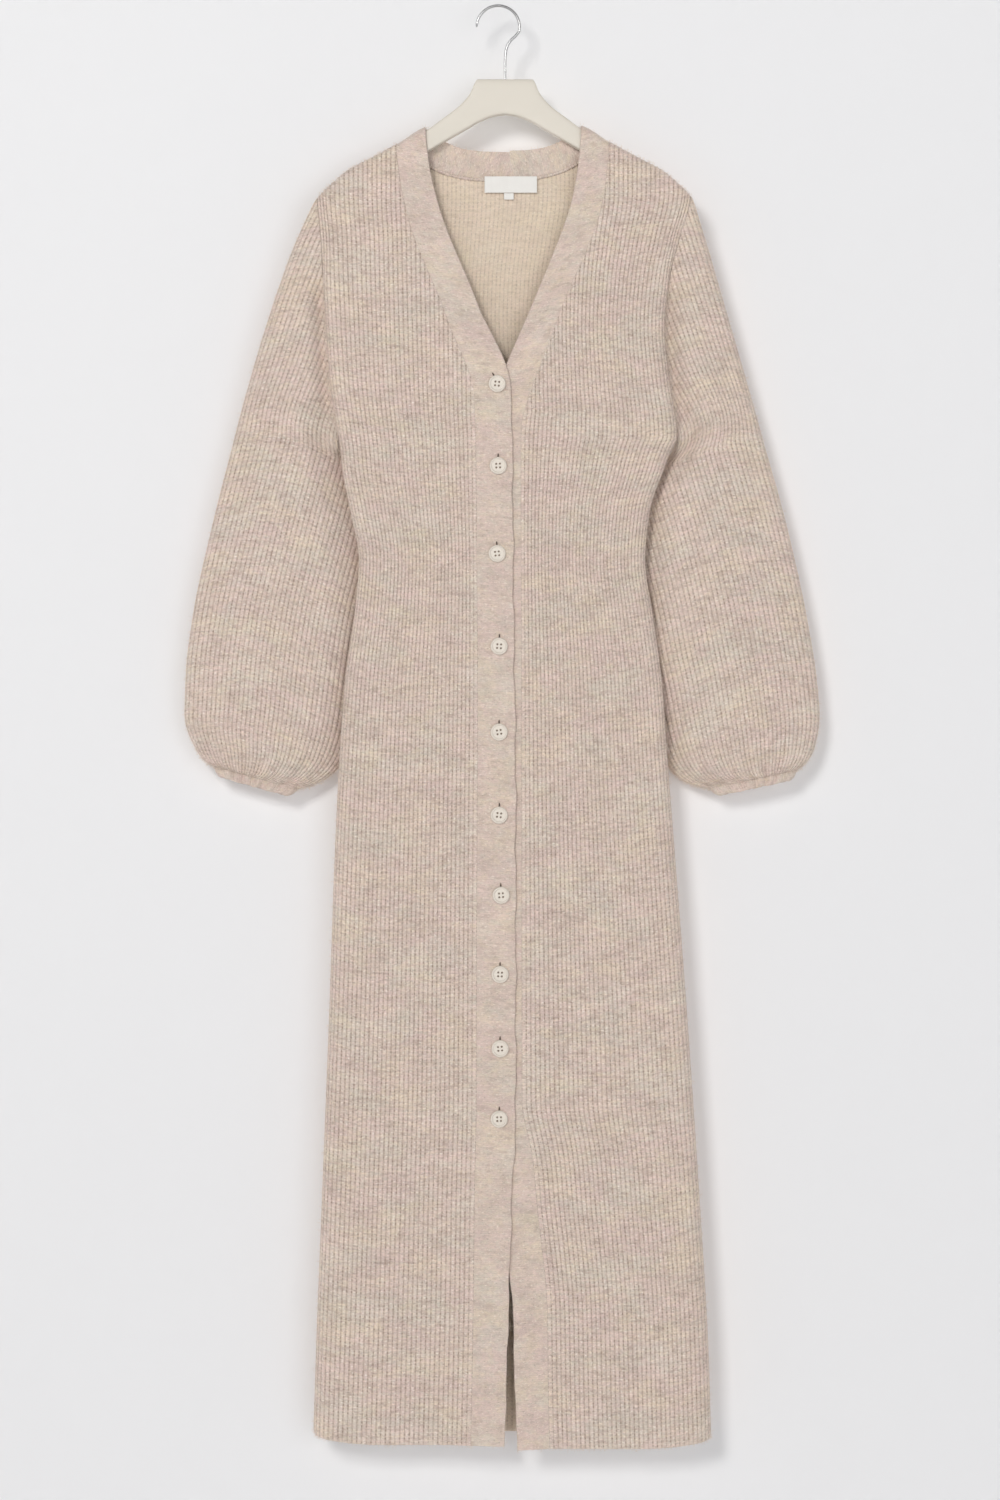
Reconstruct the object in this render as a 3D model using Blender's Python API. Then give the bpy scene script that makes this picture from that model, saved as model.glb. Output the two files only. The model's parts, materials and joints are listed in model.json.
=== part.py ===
"""A long ribbed knit dress with ten buttons, hanging on a flat hanger with a wire hook, in metres.

The origin is the seat of the hook, where its inner top rests on a peg. +X is to the right seen from the
front, -Y is the front and +Z is up. In the tables a drop is a distance below the seat, and across is a distance
to the right of the table line, which runs TABLE_LINE to the right of the seat. Right and left in names are the
wearer's: the wearer's right side is at -X.

The body is a flat tube of a front in two panels and a back, which meet in the plane y = 0 along the crest of
the shoulders and down both sides. Each sleeve is a tube from its armhole to its cuff. Every cloth wall is an
outer grid with the ribs raised in it, over a plain inner grid with few columns.
"""

import bmesh
import bpy
import numpy as np

TABLE_LINE = 0.005
HANGER_MIDDLE = 0.002  # across

WALL = 0.0024
RIB_HEIGHT = 0.0008
SEAM_GAP = 0.0003
BAND_GAP = 0.0007  # between a band and its panels, whose edges have more corners than the band's
INNER_STEP = (0.018, 0.0010, 0.016)  # the widest steps along the top edge of a panel's inner grid, by axis
FOLD_COLUMNS = (0, 2, 4)  # the inner grid's columns at the folds of a sleeve
SHOULDER_RADIUS = 0.009
OVERLAP_LIFT = 0.0036  # how far the right front stands over the left one where they are buttoned
LIFT_RUN = 0.030  # the width over which the right front rises to it
SLOPE_STEP = 0.0005
SHARE_STEP = 0.0001  # the step in rows and shares over which a surface's normals are found
HALVINGS = 40  # rounds of each search by halving
SHARP_ANGLE = 50  # degrees

OUTWARD = {"right": -1, "left": 1}  # the way from the middle to each side, along X
RIBS = {"right": 29, "left": 32, "back": 74, "sleeve": 58}


def table(columns, *rows):
    """The rows as one array for each named column."""
    return dict(zip(columns.split(), np.array(rows, float).T))


BODY = table(
    "drop   right   left   half_depth",
    (0.120, -0.191, 0.193, 0.0096),
    (0.192, -0.191, 0.193, 0.0098),
    (0.240, -0.187, 0.181, 0.0104),
    (0.281, -0.185, 0.171, 0.0112),
    (0.330, -0.182, 0.166, 0.0120),
    (0.384, -0.178, 0.171, 0.0126),
    (0.443, -0.169, 0.179, 0.0130),
    (0.456, -0.167, 0.173, 0.0130),
    (0.477, -0.165, 0.165, 0.0128),
    (0.518, -0.157, 0.151, 0.0122),
    (0.570, -0.148, 0.146, 0.0120),
    (0.621, -0.152, 0.153, 0.0124),
    (0.693, -0.162, 0.163, 0.0132),
    (0.776, -0.168, 0.169, 0.0140),
    (0.879, -0.173, 0.177, 0.0145),
    (1.023, -0.178, 0.188, 0.0150),
    (1.229, -0.186, 0.202, 0.0154),
    (1.383, -0.192, 0.211, 0.0156),
    (1.480, -0.195, 0.214, 0.0156),
)
SHOULDER = table(
    "from_middle drop",
    (0.000, 0.098),
    (0.081, 0.1232),
    (0.106, 0.1385),
    (0.137, 0.1555),
    (0.160, 0.1675),
    (0.178, 0.1820),
    (0.190, 0.1940),
    (0.205, 0.2110),
)
FREE_EDGE = {  # the outer edge of each front band, from the shoulder's crest to the hem
    "right": table(
        "drop   across  width",
        (0.1235, -0.080, 0.030),
        (0.151, -0.078, 0.031),
        (0.195, -0.069, 0.033),
        (0.227, -0.059, 0.034),
        (0.261, -0.045, 0.034),
        (0.289, -0.033, 0.034),
        (0.317, -0.022, 0.035),
        (0.347, -0.007, 0.037),
        (0.373, 0.004, 0.038),
        (0.392, 0.008, 0.038),
        (0.456, 0.0095, 0.037),
        (0.631, 0.011, 0.037),
        (0.817, 0.013, 0.039),
        (1.126, 0.013, 0.040),
        (1.229, 0.009, 0.038),
        (1.332, 0.006, 0.036),
        (1.500, 0.001, 0.034),
    ),
    "left": table(
        "drop   across  width",
        (0.1235, 0.081, 0.028),
        (0.151, 0.079, 0.029),
        (0.199, 0.071, 0.031),
        (0.225, 0.063, 0.031),
        (0.254, 0.052, 0.030),
        (0.288, 0.038, 0.029),
        (0.317, 0.026, 0.030),
        (0.349, 0.012, 0.032),
        (0.392, -0.006, 0.034),
        (0.420, -0.015, 0.035),
        (0.456, -0.019, 0.037),
        (1.126, -0.019, 0.038),
        (1.188, -0.008, 0.038),
        (1.249, 0.000, 0.036),
        (1.291, 0.005, 0.036),
        (1.340, 0.010, 0.035),
        (1.421, 0.012, 0.034),
        (1.500, 0.016, 0.032),
    ),
}
BAND_POINTS = 800  # on each band's edge lines
BACK_NECK = table(  # drops of the back neckband's edges below their ends on the crest, by the way out
    "reach free   seam",
    (0.00, 0.0240, 0.0365),
    (0.25, 0.0235, 0.0355),
    (0.50, 0.0210, 0.0305),
    (0.75, 0.0135, 0.0180),
    (0.90, 0.0062, 0.0075),
    (1.00, 0.0000, 0.0000),
)
BACK_NECK_SEAM = 0.009  # across: the two bands are joined here
BACK_NECK_LEAN = 0.75  # where that seam meets the free edge, as a share of it
BACK_NECK_END = 0.006  # the shortest last row beside that seam
BACK_NECK_PAST = 1.2  # the seam's curve runs on to this reach
OPEN_LEVELS = {  # the panels' rows below the underarm, as drops; the last two are the plain hem edge
    "right": (0.446, 0.480, 0.522, 0.580, 0.680, 0.950, 1.471, 1.478),
    "left": (0.446, 0.480, 0.522, 0.580, 0.680, 0.950, 1.145, 1.240, 1.330, 1.475, 1.482),
    "back": (0.446, 0.480, 0.522, 0.580, 0.680, 0.950, 1.463, 1.470),
}
BEND_CLEARANCE = 0.15  # a rib's column nearer than this to a bend gives way to it, in column widths
SIDE_COLUMNS = (3, 6)  # the inner grid's columns at the folds of a panel's sides
YOKE_SHARES = (0.0, 0.45, 0.86, 1.0)  # the rows between the shoulder's fold and the underarm
FOLD_ROWS = 2
UNDERARM = 0.446
V_BASE = 0.420
V_STEP = 0.009  # the shortest rows of a band along the neckline
SIDE_FOLD = {"front": (0.235, 0.300), "back": (0.405, 0.446)}  # the drops over which a side starts to turn in
OVERLAP = (0.300, 0.350)  # the drops over which the right front comes to lie on the left one
BAND_ROWS = {"right": (1.120, 1.229, 1.332, 1.420), "left": (1.395,)}  # rows of a band between its front's

SLEEVE = {
    "right": table(
        "outer  outer_drop inner inner_drop fold crown outer_y inner_y",
        (-0.191, 0.1974, -0.091, 0.232, 0.0096, 0.000, 0.000, 0.002),
        (-0.212, 0.240, -0.108, 0.277, 0.0096, 0.002, 0.002, 0.010),
        (-0.230, 0.287, -0.125, 0.322, 0.0094, 0.004, 0.004, 0.016),
        (-0.250, 0.348, -0.145, 0.381, 0.0090, 0.006, 0.006, 0.022),
        (-0.268, 0.410, -0.1695, 0.446, 0.0085, 0.008, 0.008, 0.026),
        (-0.280, 0.456, -0.156, 0.492, 0.0080, 0.009, 0.009, 0.027),
        (-0.296, 0.518, -0.145, 0.552, 0.0078, 0.011, 0.010, 0.027),
        (-0.319, 0.621, -0.140, 0.640, 0.0078, 0.013, 0.011, 0.027),
        (-0.327, 0.683, -0.146, 0.703, 0.0078, 0.013, 0.011, 0.027),
        (-0.3285, 0.729, -0.155, 0.752, 0.0078, 0.012, 0.011, 0.027),
        (-0.319, 0.760, -0.171, 0.784, 0.0074, 0.009, 0.011, 0.026),
        (-0.308, 0.776, -0.193, 0.800, 0.0070, 0.004, 0.011, 0.020),
        (-0.298, 0.782, -0.213, 0.806, 0.0065, 0.000, 0.011, 0.013),
    ),
    "left": table(
        "outer  outer_drop inner inner_drop fold crown outer_y inner_y",
        (0.193, 0.1951, 0.093, 0.232, 0.0096, 0.000, 0.000, 0.002),
        (0.208, 0.240, 0.108, 0.277, 0.0096, 0.002, 0.002, 0.010),
        (0.222, 0.287, 0.124, 0.322, 0.0094, 0.004, 0.004, 0.016),
        (0.240, 0.348, 0.148, 0.381, 0.0090, 0.006, 0.006, 0.022),
        (0.258, 0.410, 0.1795, 0.446, 0.0085, 0.008, 0.008, 0.026),
        (0.272, 0.460, 0.151, 0.490, 0.0080, 0.009, 0.009, 0.027),
        (0.290, 0.524, 0.138, 0.552, 0.0078, 0.011, 0.010, 0.027),
        (0.312, 0.621, 0.136, 0.640, 0.0078, 0.013, 0.011, 0.027),
        (0.323, 0.688, 0.148, 0.706, 0.0078, 0.013, 0.011, 0.027),
        (0.3265, 0.730, 0.158, 0.752, 0.0078, 0.012, 0.011, 0.027),
        (0.3215, 0.762, 0.173, 0.785, 0.0074, 0.009, 0.011, 0.026),
        (0.312, 0.779, 0.193, 0.800, 0.0070, 0.004, 0.011, 0.020),
        (0.303, 0.786, 0.214, 0.805, 0.0065, 0.000, 0.011, 0.013),
    ),
}
SLEEVE_STATIONS = (4.5, 6.3, 8.2, 9.8, 11.0, 12.0)  # the sleeve's rows below the armhole, as table rows
SLEEVE_NEAR = 0.34  # the first row past the armhole, as a share of a table row
SLEEVE_SHORTEST = 0.4  # the same row where the armhole is near the next one, as a share of what is left
HOLE_END = 4.2  # the armhole ends before this table row
SLEEVE_COLUMNS = (10, 7)  # the inner grid's first column past a sleeve's fold, and the columns between two
SLEEVE_BLEND = 0.022  # the sleeve leaves the panels' edges over this distance
INNER_TURN = 0.045  # the sleeve comes forward over this distance from its inner edge
CUFF = {"gap": 0.0008, "drop": 0.0085, "narrowing": 0.0035, "columns": 20, "rows": 3, "roundness": 0.6}

BUTTON_SIDES = 12
BUTTON_PROFILE = table(  # a turned disc with a raised rim round a shallow dish, from its back edge in
    "radius  up",
    (0.0081, 0.0000),
    (0.0089, 0.0009),
    (0.0086, 0.0023),
    (0.0079, 0.0028),
    (0.0069, 0.0020),
)
BUTTONS = table(
    "across  drop",
    (-0.006, 0.390),
    (-0.005, 0.474),
    (-0.006, 0.564),
    (-0.004, 0.659),
    (-0.004, 0.747),
    (-0.004, 0.832),
    (-0.002, 0.914),
    (-0.003, 0.995),
    (-0.003, 1.071),
    (-0.004, 1.143),
)
LABEL = {"left": -0.019, "right": 0.035, "top": 0.1735, "bottom": 0.1905}
SIZE_TAB = {"left": 0.001, "right": 0.011, "top": 0.1908, "bottom": 0.1975}
LABEL_THICKNESS = 0.0008

HANGER_THICKNESS = 0.012
HANGER = table(
    "from_middle top  bottom",
    (0.000, 0.0750, 0.1110),
    (0.012, 0.0750, 0.1130),
    (0.028, 0.0750, 0.1195),
    (0.0365, 0.0905, 0.1245),
    (0.047, 0.1025, 0.1305),
    (0.062, 0.1140, 0.1390),
    (0.079, 0.1264, 0.1490),
)
HANGER_ARM = table(
    "from_middle height",
    (0.110, 0.0210),
    (0.140, 0.0200),
    (0.165, 0.0170),
    (0.176, 0.0130),
    (0.181, 0.0060),
)
HANGER_CLEARANCE = 0.0014
HANGER_SECTION = table(  # each corner's drop is the top's, or the bottom's where low is 1, and some bevels
    "half_depths bevels low",
    (-0.25, 0.0, 0),
    (-0.70, 0.3, 0),
    (-1.00, 1.0, 0),
    (-1.00, -1.0, 1),
    (-0.60, 0.0, 1),
    (0.60, 0.0, 1),
    (1.00, -1.0, 1),
    (1.00, 1.0, 0),
    (0.70, 0.3, 0),
    (0.25, 0.0, 0),
)
HANGER_BEVEL = 0.0045
HANGER_BEVEL_SHARE = 0.3  # the most a bevel takes of the plate's height
HOOK_WIRE = 0.0014  # the wire's radius
HOOK_BEND = 0.0221  # the radius of the bend, to the wire's middle
HOOK_BEND_ANGLES = (180, -12)
HOOK_POINTS = (17, 12)  # on the bend, and on the tail
HOOK_TAIL = table(  # the wire below the bend, from the seat
    "across  drop",
    (0.0190, 0.0290),
    (0.0130, 0.0345),
    (0.0092, 0.0410),
    (0.0075, 0.0500),
    (0.0072, 0.0600),
)

MATERIALS = {  # colour, roughness, metallic
    "rib_knit": ((0.60, 0.50, 0.43), 0.95, 0.0),
    "plain_knit": ((0.61, 0.51, 0.44), 0.95, 0.0),
    "button_resin": ((0.72, 0.66, 0.58), 0.40, 0.0),
    "woven_label": ((0.85, 0.84, 0.80), 0.80, 0.0),
    "hanger_finish": ((0.72, 0.68, 0.60), 0.50, 0.0),
    "steel_wire": ((0.62, 0.62, 0.62), 0.30, 1.0),
}


def unit(vectors):
    return vectors / np.linalg.norm(vectors, axis=-1, keepdims=True)


def smooth_step(share):
    share = np.clip(share, 0, 1)
    return share * share * (3 - 2 * share)


def curve(xs, ys, at):
    """A smooth curve through the points (xs, ys), read at `at`.

    Each stretch is a cubic. Its slope at a point is the harmonic mean of the two chords that meet there, so
    the curve never overshoots, and it runs on straight past both ends.
    """
    at = np.asarray(at, float)
    chords = np.diff(ys) / np.diff(xs)
    slopes = np.concatenate([chords[:1], np.zeros(len(chords) - 1), chords[-1:]])
    rising = chords[1:] * chords[:-1] > 0
    slopes[1:-1][rising] = (2 * chords[1:] * chords[:-1])[rising] / (chords[1:] + chords[:-1])[rising]
    held = np.clip(at, xs[0], xs[-1])
    i = np.clip(np.searchsorted(xs, held, side="right") - 1, 0, len(xs) - 2)
    run = xs[i + 1] - xs[i]
    t = (held - xs[i]) / run
    value = (
        ys[i] * (1 + 2 * t) * (1 - t) ** 2
        + ys[i + 1] * t * t * (3 - 2 * t)
        + run * (slopes[i] * t * (1 - t) ** 2 - slopes[i + 1] * t * t * (1 - t))
    )
    end_slope = np.where(at < xs[0], slopes[0], slopes[-1])
    return value + end_slope * (at - held)


def half_depth(drop):
    return curve(BODY["drop"], BODY["half_depth"], drop)


def side(hand, drop):
    return curve(BODY["drop"], BODY[hand], drop)


def crest(across):
    """The drop of the shoulders' crest."""
    return curve(SHOULDER["from_middle"], SHOULDER["drop"], np.abs(across - HANGER_MIDDLE))


def crest_slope(across):
    return (crest(across + SLOPE_STEP) - crest(across - SLOPE_STEP)) / (2 * SLOPE_STEP)


def crest_fold(across, drop):
    """0 on the shoulders' crest and 1 from one radius below it on, along a quarter circle."""
    near = np.clip((drop - crest(across)) / SHOULDER_RADIUS, 0, 1)
    return np.sqrt(1 - (1 - near) ** 2)


def band_lines(hand):
    """The band's free edge and its seam as dense arrays; the seam lies one width away, square to the edge."""
    edge = FREE_EDGE[hand]
    drop = np.linspace(edge["drop"][0], edge["drop"][-1], BAND_POINTS)
    across = curve(edge["drop"], edge["across"], drop)
    width = curve(edge["drop"], edge["width"], drop)
    slope = np.gradient(across, drop)
    outward = OUTWARD[hand]
    length = np.sqrt(1 + slope**2)
    return drop, across, drop - outward * width * slope / length, across + outward * width / length


BAND_LINES = {hand: band_lines(hand) for hand in FREE_EDGE}


def band_seam(hand, drop):
    """Where the band's seam lies at this drop."""
    _, _, seam_drop, seam_across = BAND_LINES[hand]
    return np.interp(drop, seam_drop, seam_across)


def neck_corner(hand):
    """(across, drop) of the point where the band's seam meets the shoulders' crest."""
    drop = FREE_EDGE[hand]["drop"][0]
    for _ in range(HALVINGS):
        drop = float(crest(band_seam(hand, drop)))
    return float(band_seam(hand, drop)), drop


NECK_CORNER = {hand: neck_corner(hand) for hand in FREE_EDGE}


def back_neck(across):
    """The drop of the back neckband's seam."""
    (right, right_drop), (left, left_drop) = NECK_CORNER["right"], NECK_CORNER["left"]
    reach = np.where(across < 0, across / right, across / left)
    corner = np.where(across < 0, right_drop, left_drop)
    middle_drop = (right_drop + left_drop) / 2
    corner = middle_drop + (corner - middle_drop) * np.minimum(reach, 1)
    return corner + curve(BACK_NECK["reach"], BACK_NECK["seam"], np.minimum(reach, BACK_NECK_PAST))


def overlap_lift(across, drop):
    """How far the right front stands forward so that it clears the left band under it."""
    start, full = OVERLAP
    along = smooth_step((drop - start) / (full - start))
    return OVERLAP_LIFT * along * smooth_step((across - band_seam("right", drop) + LIFT_RUN) / LIFT_RUN)


def turn_in(face, drop):
    """0 where a panel runs flat to its side edge, and 1 where it turns in a quarter circle to y = 0."""
    start, end = SIDE_FOLD[face]
    share = np.clip((drop - start) / (end - start), 0, 1)
    return smooth_step(share) if face == "front" else 1 - np.sqrt(1 - share**2)


def wall_y(face, across, drop, fold=1.0):
    """The depth of a panel's outer face; fold is 0 on a side edge that turns in and 1 on the flat."""
    turned = turn_in(face, drop)
    depth = half_depth(drop) * crest_fold(across, drop) * (1 - turned + turned * fold)
    return (SEAM_GAP / 2 + depth) * (-1 if face == "front" else 1)


def wall_normal(face, across, drop):
    """The outward normal of the same face away from its sides: it tips up on the crest's quarter circle."""
    left_to_fold = np.clip(1 - (drop - crest(across)) / SHOULDER_RADIUS, 0, 1)
    forward = crest_fold(across, drop) * (-1 if face == "front" else 1)
    return unit(np.stack([left_to_fold * crest_slope(across), forward, left_to_fold], axis=-1))


def inward_of(radius, turned, arc):
    """How far in from the side a point lies at this arc length, and its fold: a quarter circle, then flat."""
    angle = np.clip(arc / radius, 0, np.pi / 2)
    round_part = radius * ((1 - turned) * angle * 2 / np.pi + turned * (1 - np.cos(angle)))
    return round_part + np.maximum(arc - radius * np.pi / 2, 0), np.sin(angle)


def front_span(hand, drop):
    """A front panel's side, its last column, half a gap from the band's seam, and the arc length between."""
    edge = side(hand, drop)
    last = band_seam(hand, np.maximum(drop, V_BASE)) + OUTWARD[hand] * SEAM_GAP / 2
    return edge, last, np.abs(last - edge) + half_depth(drop) * (np.pi / 2 - 1)


def front_across(hand, share, drop):
    """(across, fold) of a front panel's column: share 0 is the side, 1 is the band's seam, in arc length."""
    edge, _, length = front_span(hand, drop)
    inward, fold = inward_of(half_depth(drop), turn_in("front", drop), share * length)
    return edge - OUTWARD[hand] * inward, fold


def back_across(_, share, drop):
    """(across, fold) of the back's column: share 0 is the wearer's right side, 1 the left, in arc length."""
    radius = half_depth(drop)
    right, left = side("right", drop), side("left", drop)
    length = left - right + radius * (np.pi - 2)
    turned = turn_in("back", drop)
    from_right, right_fold = inward_of(radius, turned, share * length)
    from_left, left_fold = inward_of(radius, turned, (1 - share) * length)
    return np.where(share < 0.5, right + from_right, left - from_left), np.minimum(right_fold, left_fold)


def share_at(panel, across, drop):
    """The share of the column that passes this point, away from the sides' folds."""
    fold_excess = half_depth(drop) * (np.pi / 2 - 1)
    if panel == "back":
        right, left = side("right", drop), side("left", drop)
        return (across - right + fold_excess) / (left - right + 2 * fold_excess)
    edge, _, length = front_span(panel, drop)
    return (np.abs(across - edge) + fold_excess) / length


def is_inside(panel, share, drop):
    """Whether a column's point lies on the panel: below the crest and outside the band's seam."""
    if panel == "back":
        across, _ = back_across(panel, share, drop)
        return (drop >= crest(across)) & (drop >= back_neck(across) + SEAM_GAP / 2)
    across, _ = front_across(panel, share, drop)
    clear = (across - band_seam(panel, drop)) * OUTWARD[panel]
    return (drop >= crest(across)) & (clear >= SEAM_GAP / 2 - 1e-9)


def first_drop(panel, share):
    """The least drop at which each column lies on its panel, by halving."""
    low, high = np.full(share.shape, SHOULDER["drop"][0]), np.full(share.shape, V_BASE)
    for _ in range(HALVINGS):
        middle = (low + high) / 2
        found = is_inside(panel, share, middle)
        low, high = np.where(found, low, middle), np.where(found, middle, high)
    return high


def panel_surface(panel):
    """The plain outer face of a panel as a function of rows and of columns' shares, and its row count."""
    face, column = ("back", back_across) if panel == "back" else ("front", front_across)
    levels = np.array(OPEN_LEVELS[panel])

    def surface(row, share):
        top = first_drop(panel, share)
        fold_end = top + SHOULDER_RADIUS
        folded = top + SHOULDER_RADIUS * (1 - np.cos(np.pi / 2 * np.minimum(row / FOLD_ROWS, 1)))
        yoke = np.interp(row - FOLD_ROWS, np.arange(len(YOKE_SHARES)), YOKE_SHARES)
        below = np.interp(row - FOLD_ROWS - len(YOKE_SHARES) + 1, np.arange(len(levels)), levels)
        drop = np.where(yoke < 1, fold_end + yoke * (UNDERARM - fold_end), below)
        drop = np.where(row <= FOLD_ROWS, folded, drop)
        across, fold = column(panel, share, drop)
        y = wall_y(face, across, drop, fold)
        if panel == "right":
            y = y - overlap_lift(across, drop)
        return np.stack([across, y, -drop], axis=-1)

    return surface, FOLD_ROWS + len(YOKE_SHARES) + len(levels) - 1


def column_shares(panel):
    """Two columns for each rib, and others where the band's seam bends over the crest at a neck corner."""
    even = np.arange(2 * RIBS[panel] + 1) / (2 * RIBS[panel])
    bends = []
    for hand in ("right", "left") if panel == "back" else (panel,):
        across, drop = NECK_CORNER[hand]
        if panel == "back":
            bends.append(share_at(panel, across, drop))
            continue
        for turn in range(FOLD_ROWS + 1):
            lower = drop + SHOULDER_RADIUS * (1 - np.cos(np.pi / 2 * turn / FOLD_ROWS))
            bends.append(share_at(panel, band_seam(hand, lower) + OUTWARD[hand] * SEAM_GAP / 2, lower))
    bends = np.array(bends)
    clear = np.abs(even[:, None] - bends).min(axis=1) > BEND_CLEARANCE * even[1]
    return np.sort(np.concatenate([even[clear], bends])), bends


def normals_of(surface, rows, shares, outward, wrap=False):
    """The surface's outward normals, from its differences along rows and columns."""
    low, high = shares - SHARE_STEP, shares + SHARE_STEP
    if not wrap:
        low, high = np.maximum(low, 0), np.minimum(high, 1)
    above, below = np.maximum(rows - SHARE_STEP, 0), np.minimum(rows + SHARE_STEP, rows.max())
    along = surface(below, shares) - surface(above, shares)
    around = surface(rows, high) - surface(rows, low)
    return unit(np.cross(along, around)) * outward


def ribbed_wall(name, surface, row_count, shares, kept, ribs, outward, wrap=False):
    """A cloth wall with ribs raised in its outer grid, over an inner grid of the kept columns.

    The ribs rise from nothing at the first row and run out at the last one, and a panel's sides stay plain. A
    tube's first row is cut upright, so that its wall doesn't lean over the edge it is joined to.
    """
    rows, shares = np.meshgrid(np.arange(row_count, dtype=float), shares, indexing="ij")
    plain = surface(rows, shares)
    normals = normals_of(surface, rows, shares, outward, wrap)
    phase = shares * 2 * ribs
    rib = 1 - np.abs(phase % 2 - 1)
    if not wrap:
        rib = rib * (np.minimum(phase, 2 * ribs - phase) >= 2)
    rib = rib * (rows > 0) * (rows < row_count - 1)
    outer = plain + normals * RIB_HEIGHT * rib[..., None]
    if wrap:
        leaning = normals[0, :, 0] * outward > 0
        normals[0, leaning, 0] = 0
        normals[0] = unit(normals[0])
    inner = (plain - normals * WALL)[:, kept]
    return wall_object(name, outer, inner, kept, "rib_knit", wrap)


def wall_object(name, outer, inner, kept, material, wrap=False):
    """One closed solid between an outer and an inner grid with the same rows and fewer inner columns."""
    row_count, columns = outer.shape[:2]
    few = len(kept)
    outer_id = np.arange(row_count * columns).reshape(row_count, columns)
    inner_id = row_count * columns + np.arange(row_count * few).reshape(row_count, few)
    ends = list(kept) + ([columns] if wrap else [])
    faces = []
    for grid, count, flip in ((outer_id, columns, False), (inner_id, few, True)):
        for c in range(count if wrap else count - 1):
            left, right = grid[:, c], grid[:, (c + 1) % count]
            for r in range(row_count - 1):
                quad = [left[r], right[r], right[r + 1], left[r + 1]]
                faces.append(quad[::-1] if flip else quad)
    for r, flip in ((0, False), (row_count - 1, True)):
        for m in range(len(ends) - 1):
            first, second = inner_id[r, m], inner_id[r, (m + 1) % few]
            pivot = (ends[m] + ends[m + 1]) // 2
            for c in range(ends[m], ends[m + 1]):
                if c == pivot:
                    faces.append(turned([outer_id[r, c % columns], first, second], flip))
                here, after = outer_id[r, c % columns], outer_id[r, (c + 1) % columns]
                faces.append(turned([after, here, first if c < pivot else second], flip))
    if not wrap:
        for end, flip in ((0, False), (-1, True)):
            for r in range(row_count - 1):
                quad = [outer_id[r, end], outer_id[r + 1, end], inner_id[r + 1, end], inner_id[r, end]]
                faces.append(turned(quad, flip))
    points = np.concatenate([outer.reshape(-1, 3), inner.reshape(-1, 3)])
    return add_mesh(name, points, faces, material)


def turned(face, flip):
    return face[::-1] if flip else face


def add_mesh(name, points, faces, material, smooth=True):
    """A mesh object whose faces point out, moved from the table line to the seat."""
    mesh = bpy.data.meshes.new(name)
    moved = np.asarray(points, float) + (TABLE_LINE, 0, 0)
    mesh.from_pydata(moved.tolist(), [], [[int(i) for i in face] for face in faces])
    shape = bmesh.new()
    shape.from_mesh(mesh)
    bmesh.ops.recalc_face_normals(shape, faces=shape.faces)
    shape.to_mesh(mesh)
    shape.free()
    if smooth:
        mesh.shade_smooth()
        mesh.set_sharp_from_angle(angle=np.radians(SHARP_ANGLE))
    mesh.materials.append(bpy.data.materials[material])
    obj = bpy.data.objects.new(name, mesh)
    bpy.context.scene.collection.objects.link(obj)
    return obj


def spread_columns(surface, shares, bends):
    """The inner grid's columns: every bend, close at the side folds, nowhere far apart along the top edge."""
    tops = surface(np.zeros(len(shares)), shares)
    last = len(shares) - 1
    picked = [0]
    for column in range(1, last + 1):
        far = np.abs(tops[column] - tops[picked[-1]])
        fixed = column == last or min(column, last - column) in SIDE_COLUMNS or shares[column] in bends
        if fixed or (far > INNER_STEP).any():
            picked.append(column)
    return picked


def make_panels():
    for panel, name in (("right", "front_right"), ("left", "front_left"), ("back", "back")):
        surface, row_count = panel_surface(panel)
        shares, bends = column_shares(panel)
        kept = spread_columns(surface, shares, bends)
        outward = 1 if panel == "right" else -1
        ribbed_wall(name, surface, row_count, shares, kept, RIBS[panel], outward)


def armhole(hand):
    """The panels' side edges between the shoulder and the underarm: drop, across, front depth, back depth."""
    rows = np.arange(FOLD_ROWS + len(YOKE_SHARES), dtype=float)
    front = panel_surface(hand)[0](rows, np.zeros(rows.shape))
    back = panel_surface("back")[0](rows, np.full(rows.shape, 0.0 if hand == "right" else 1.0))
    return -front[:, 2], front[:, 0], front[:, 1], back[:, 1]


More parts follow.
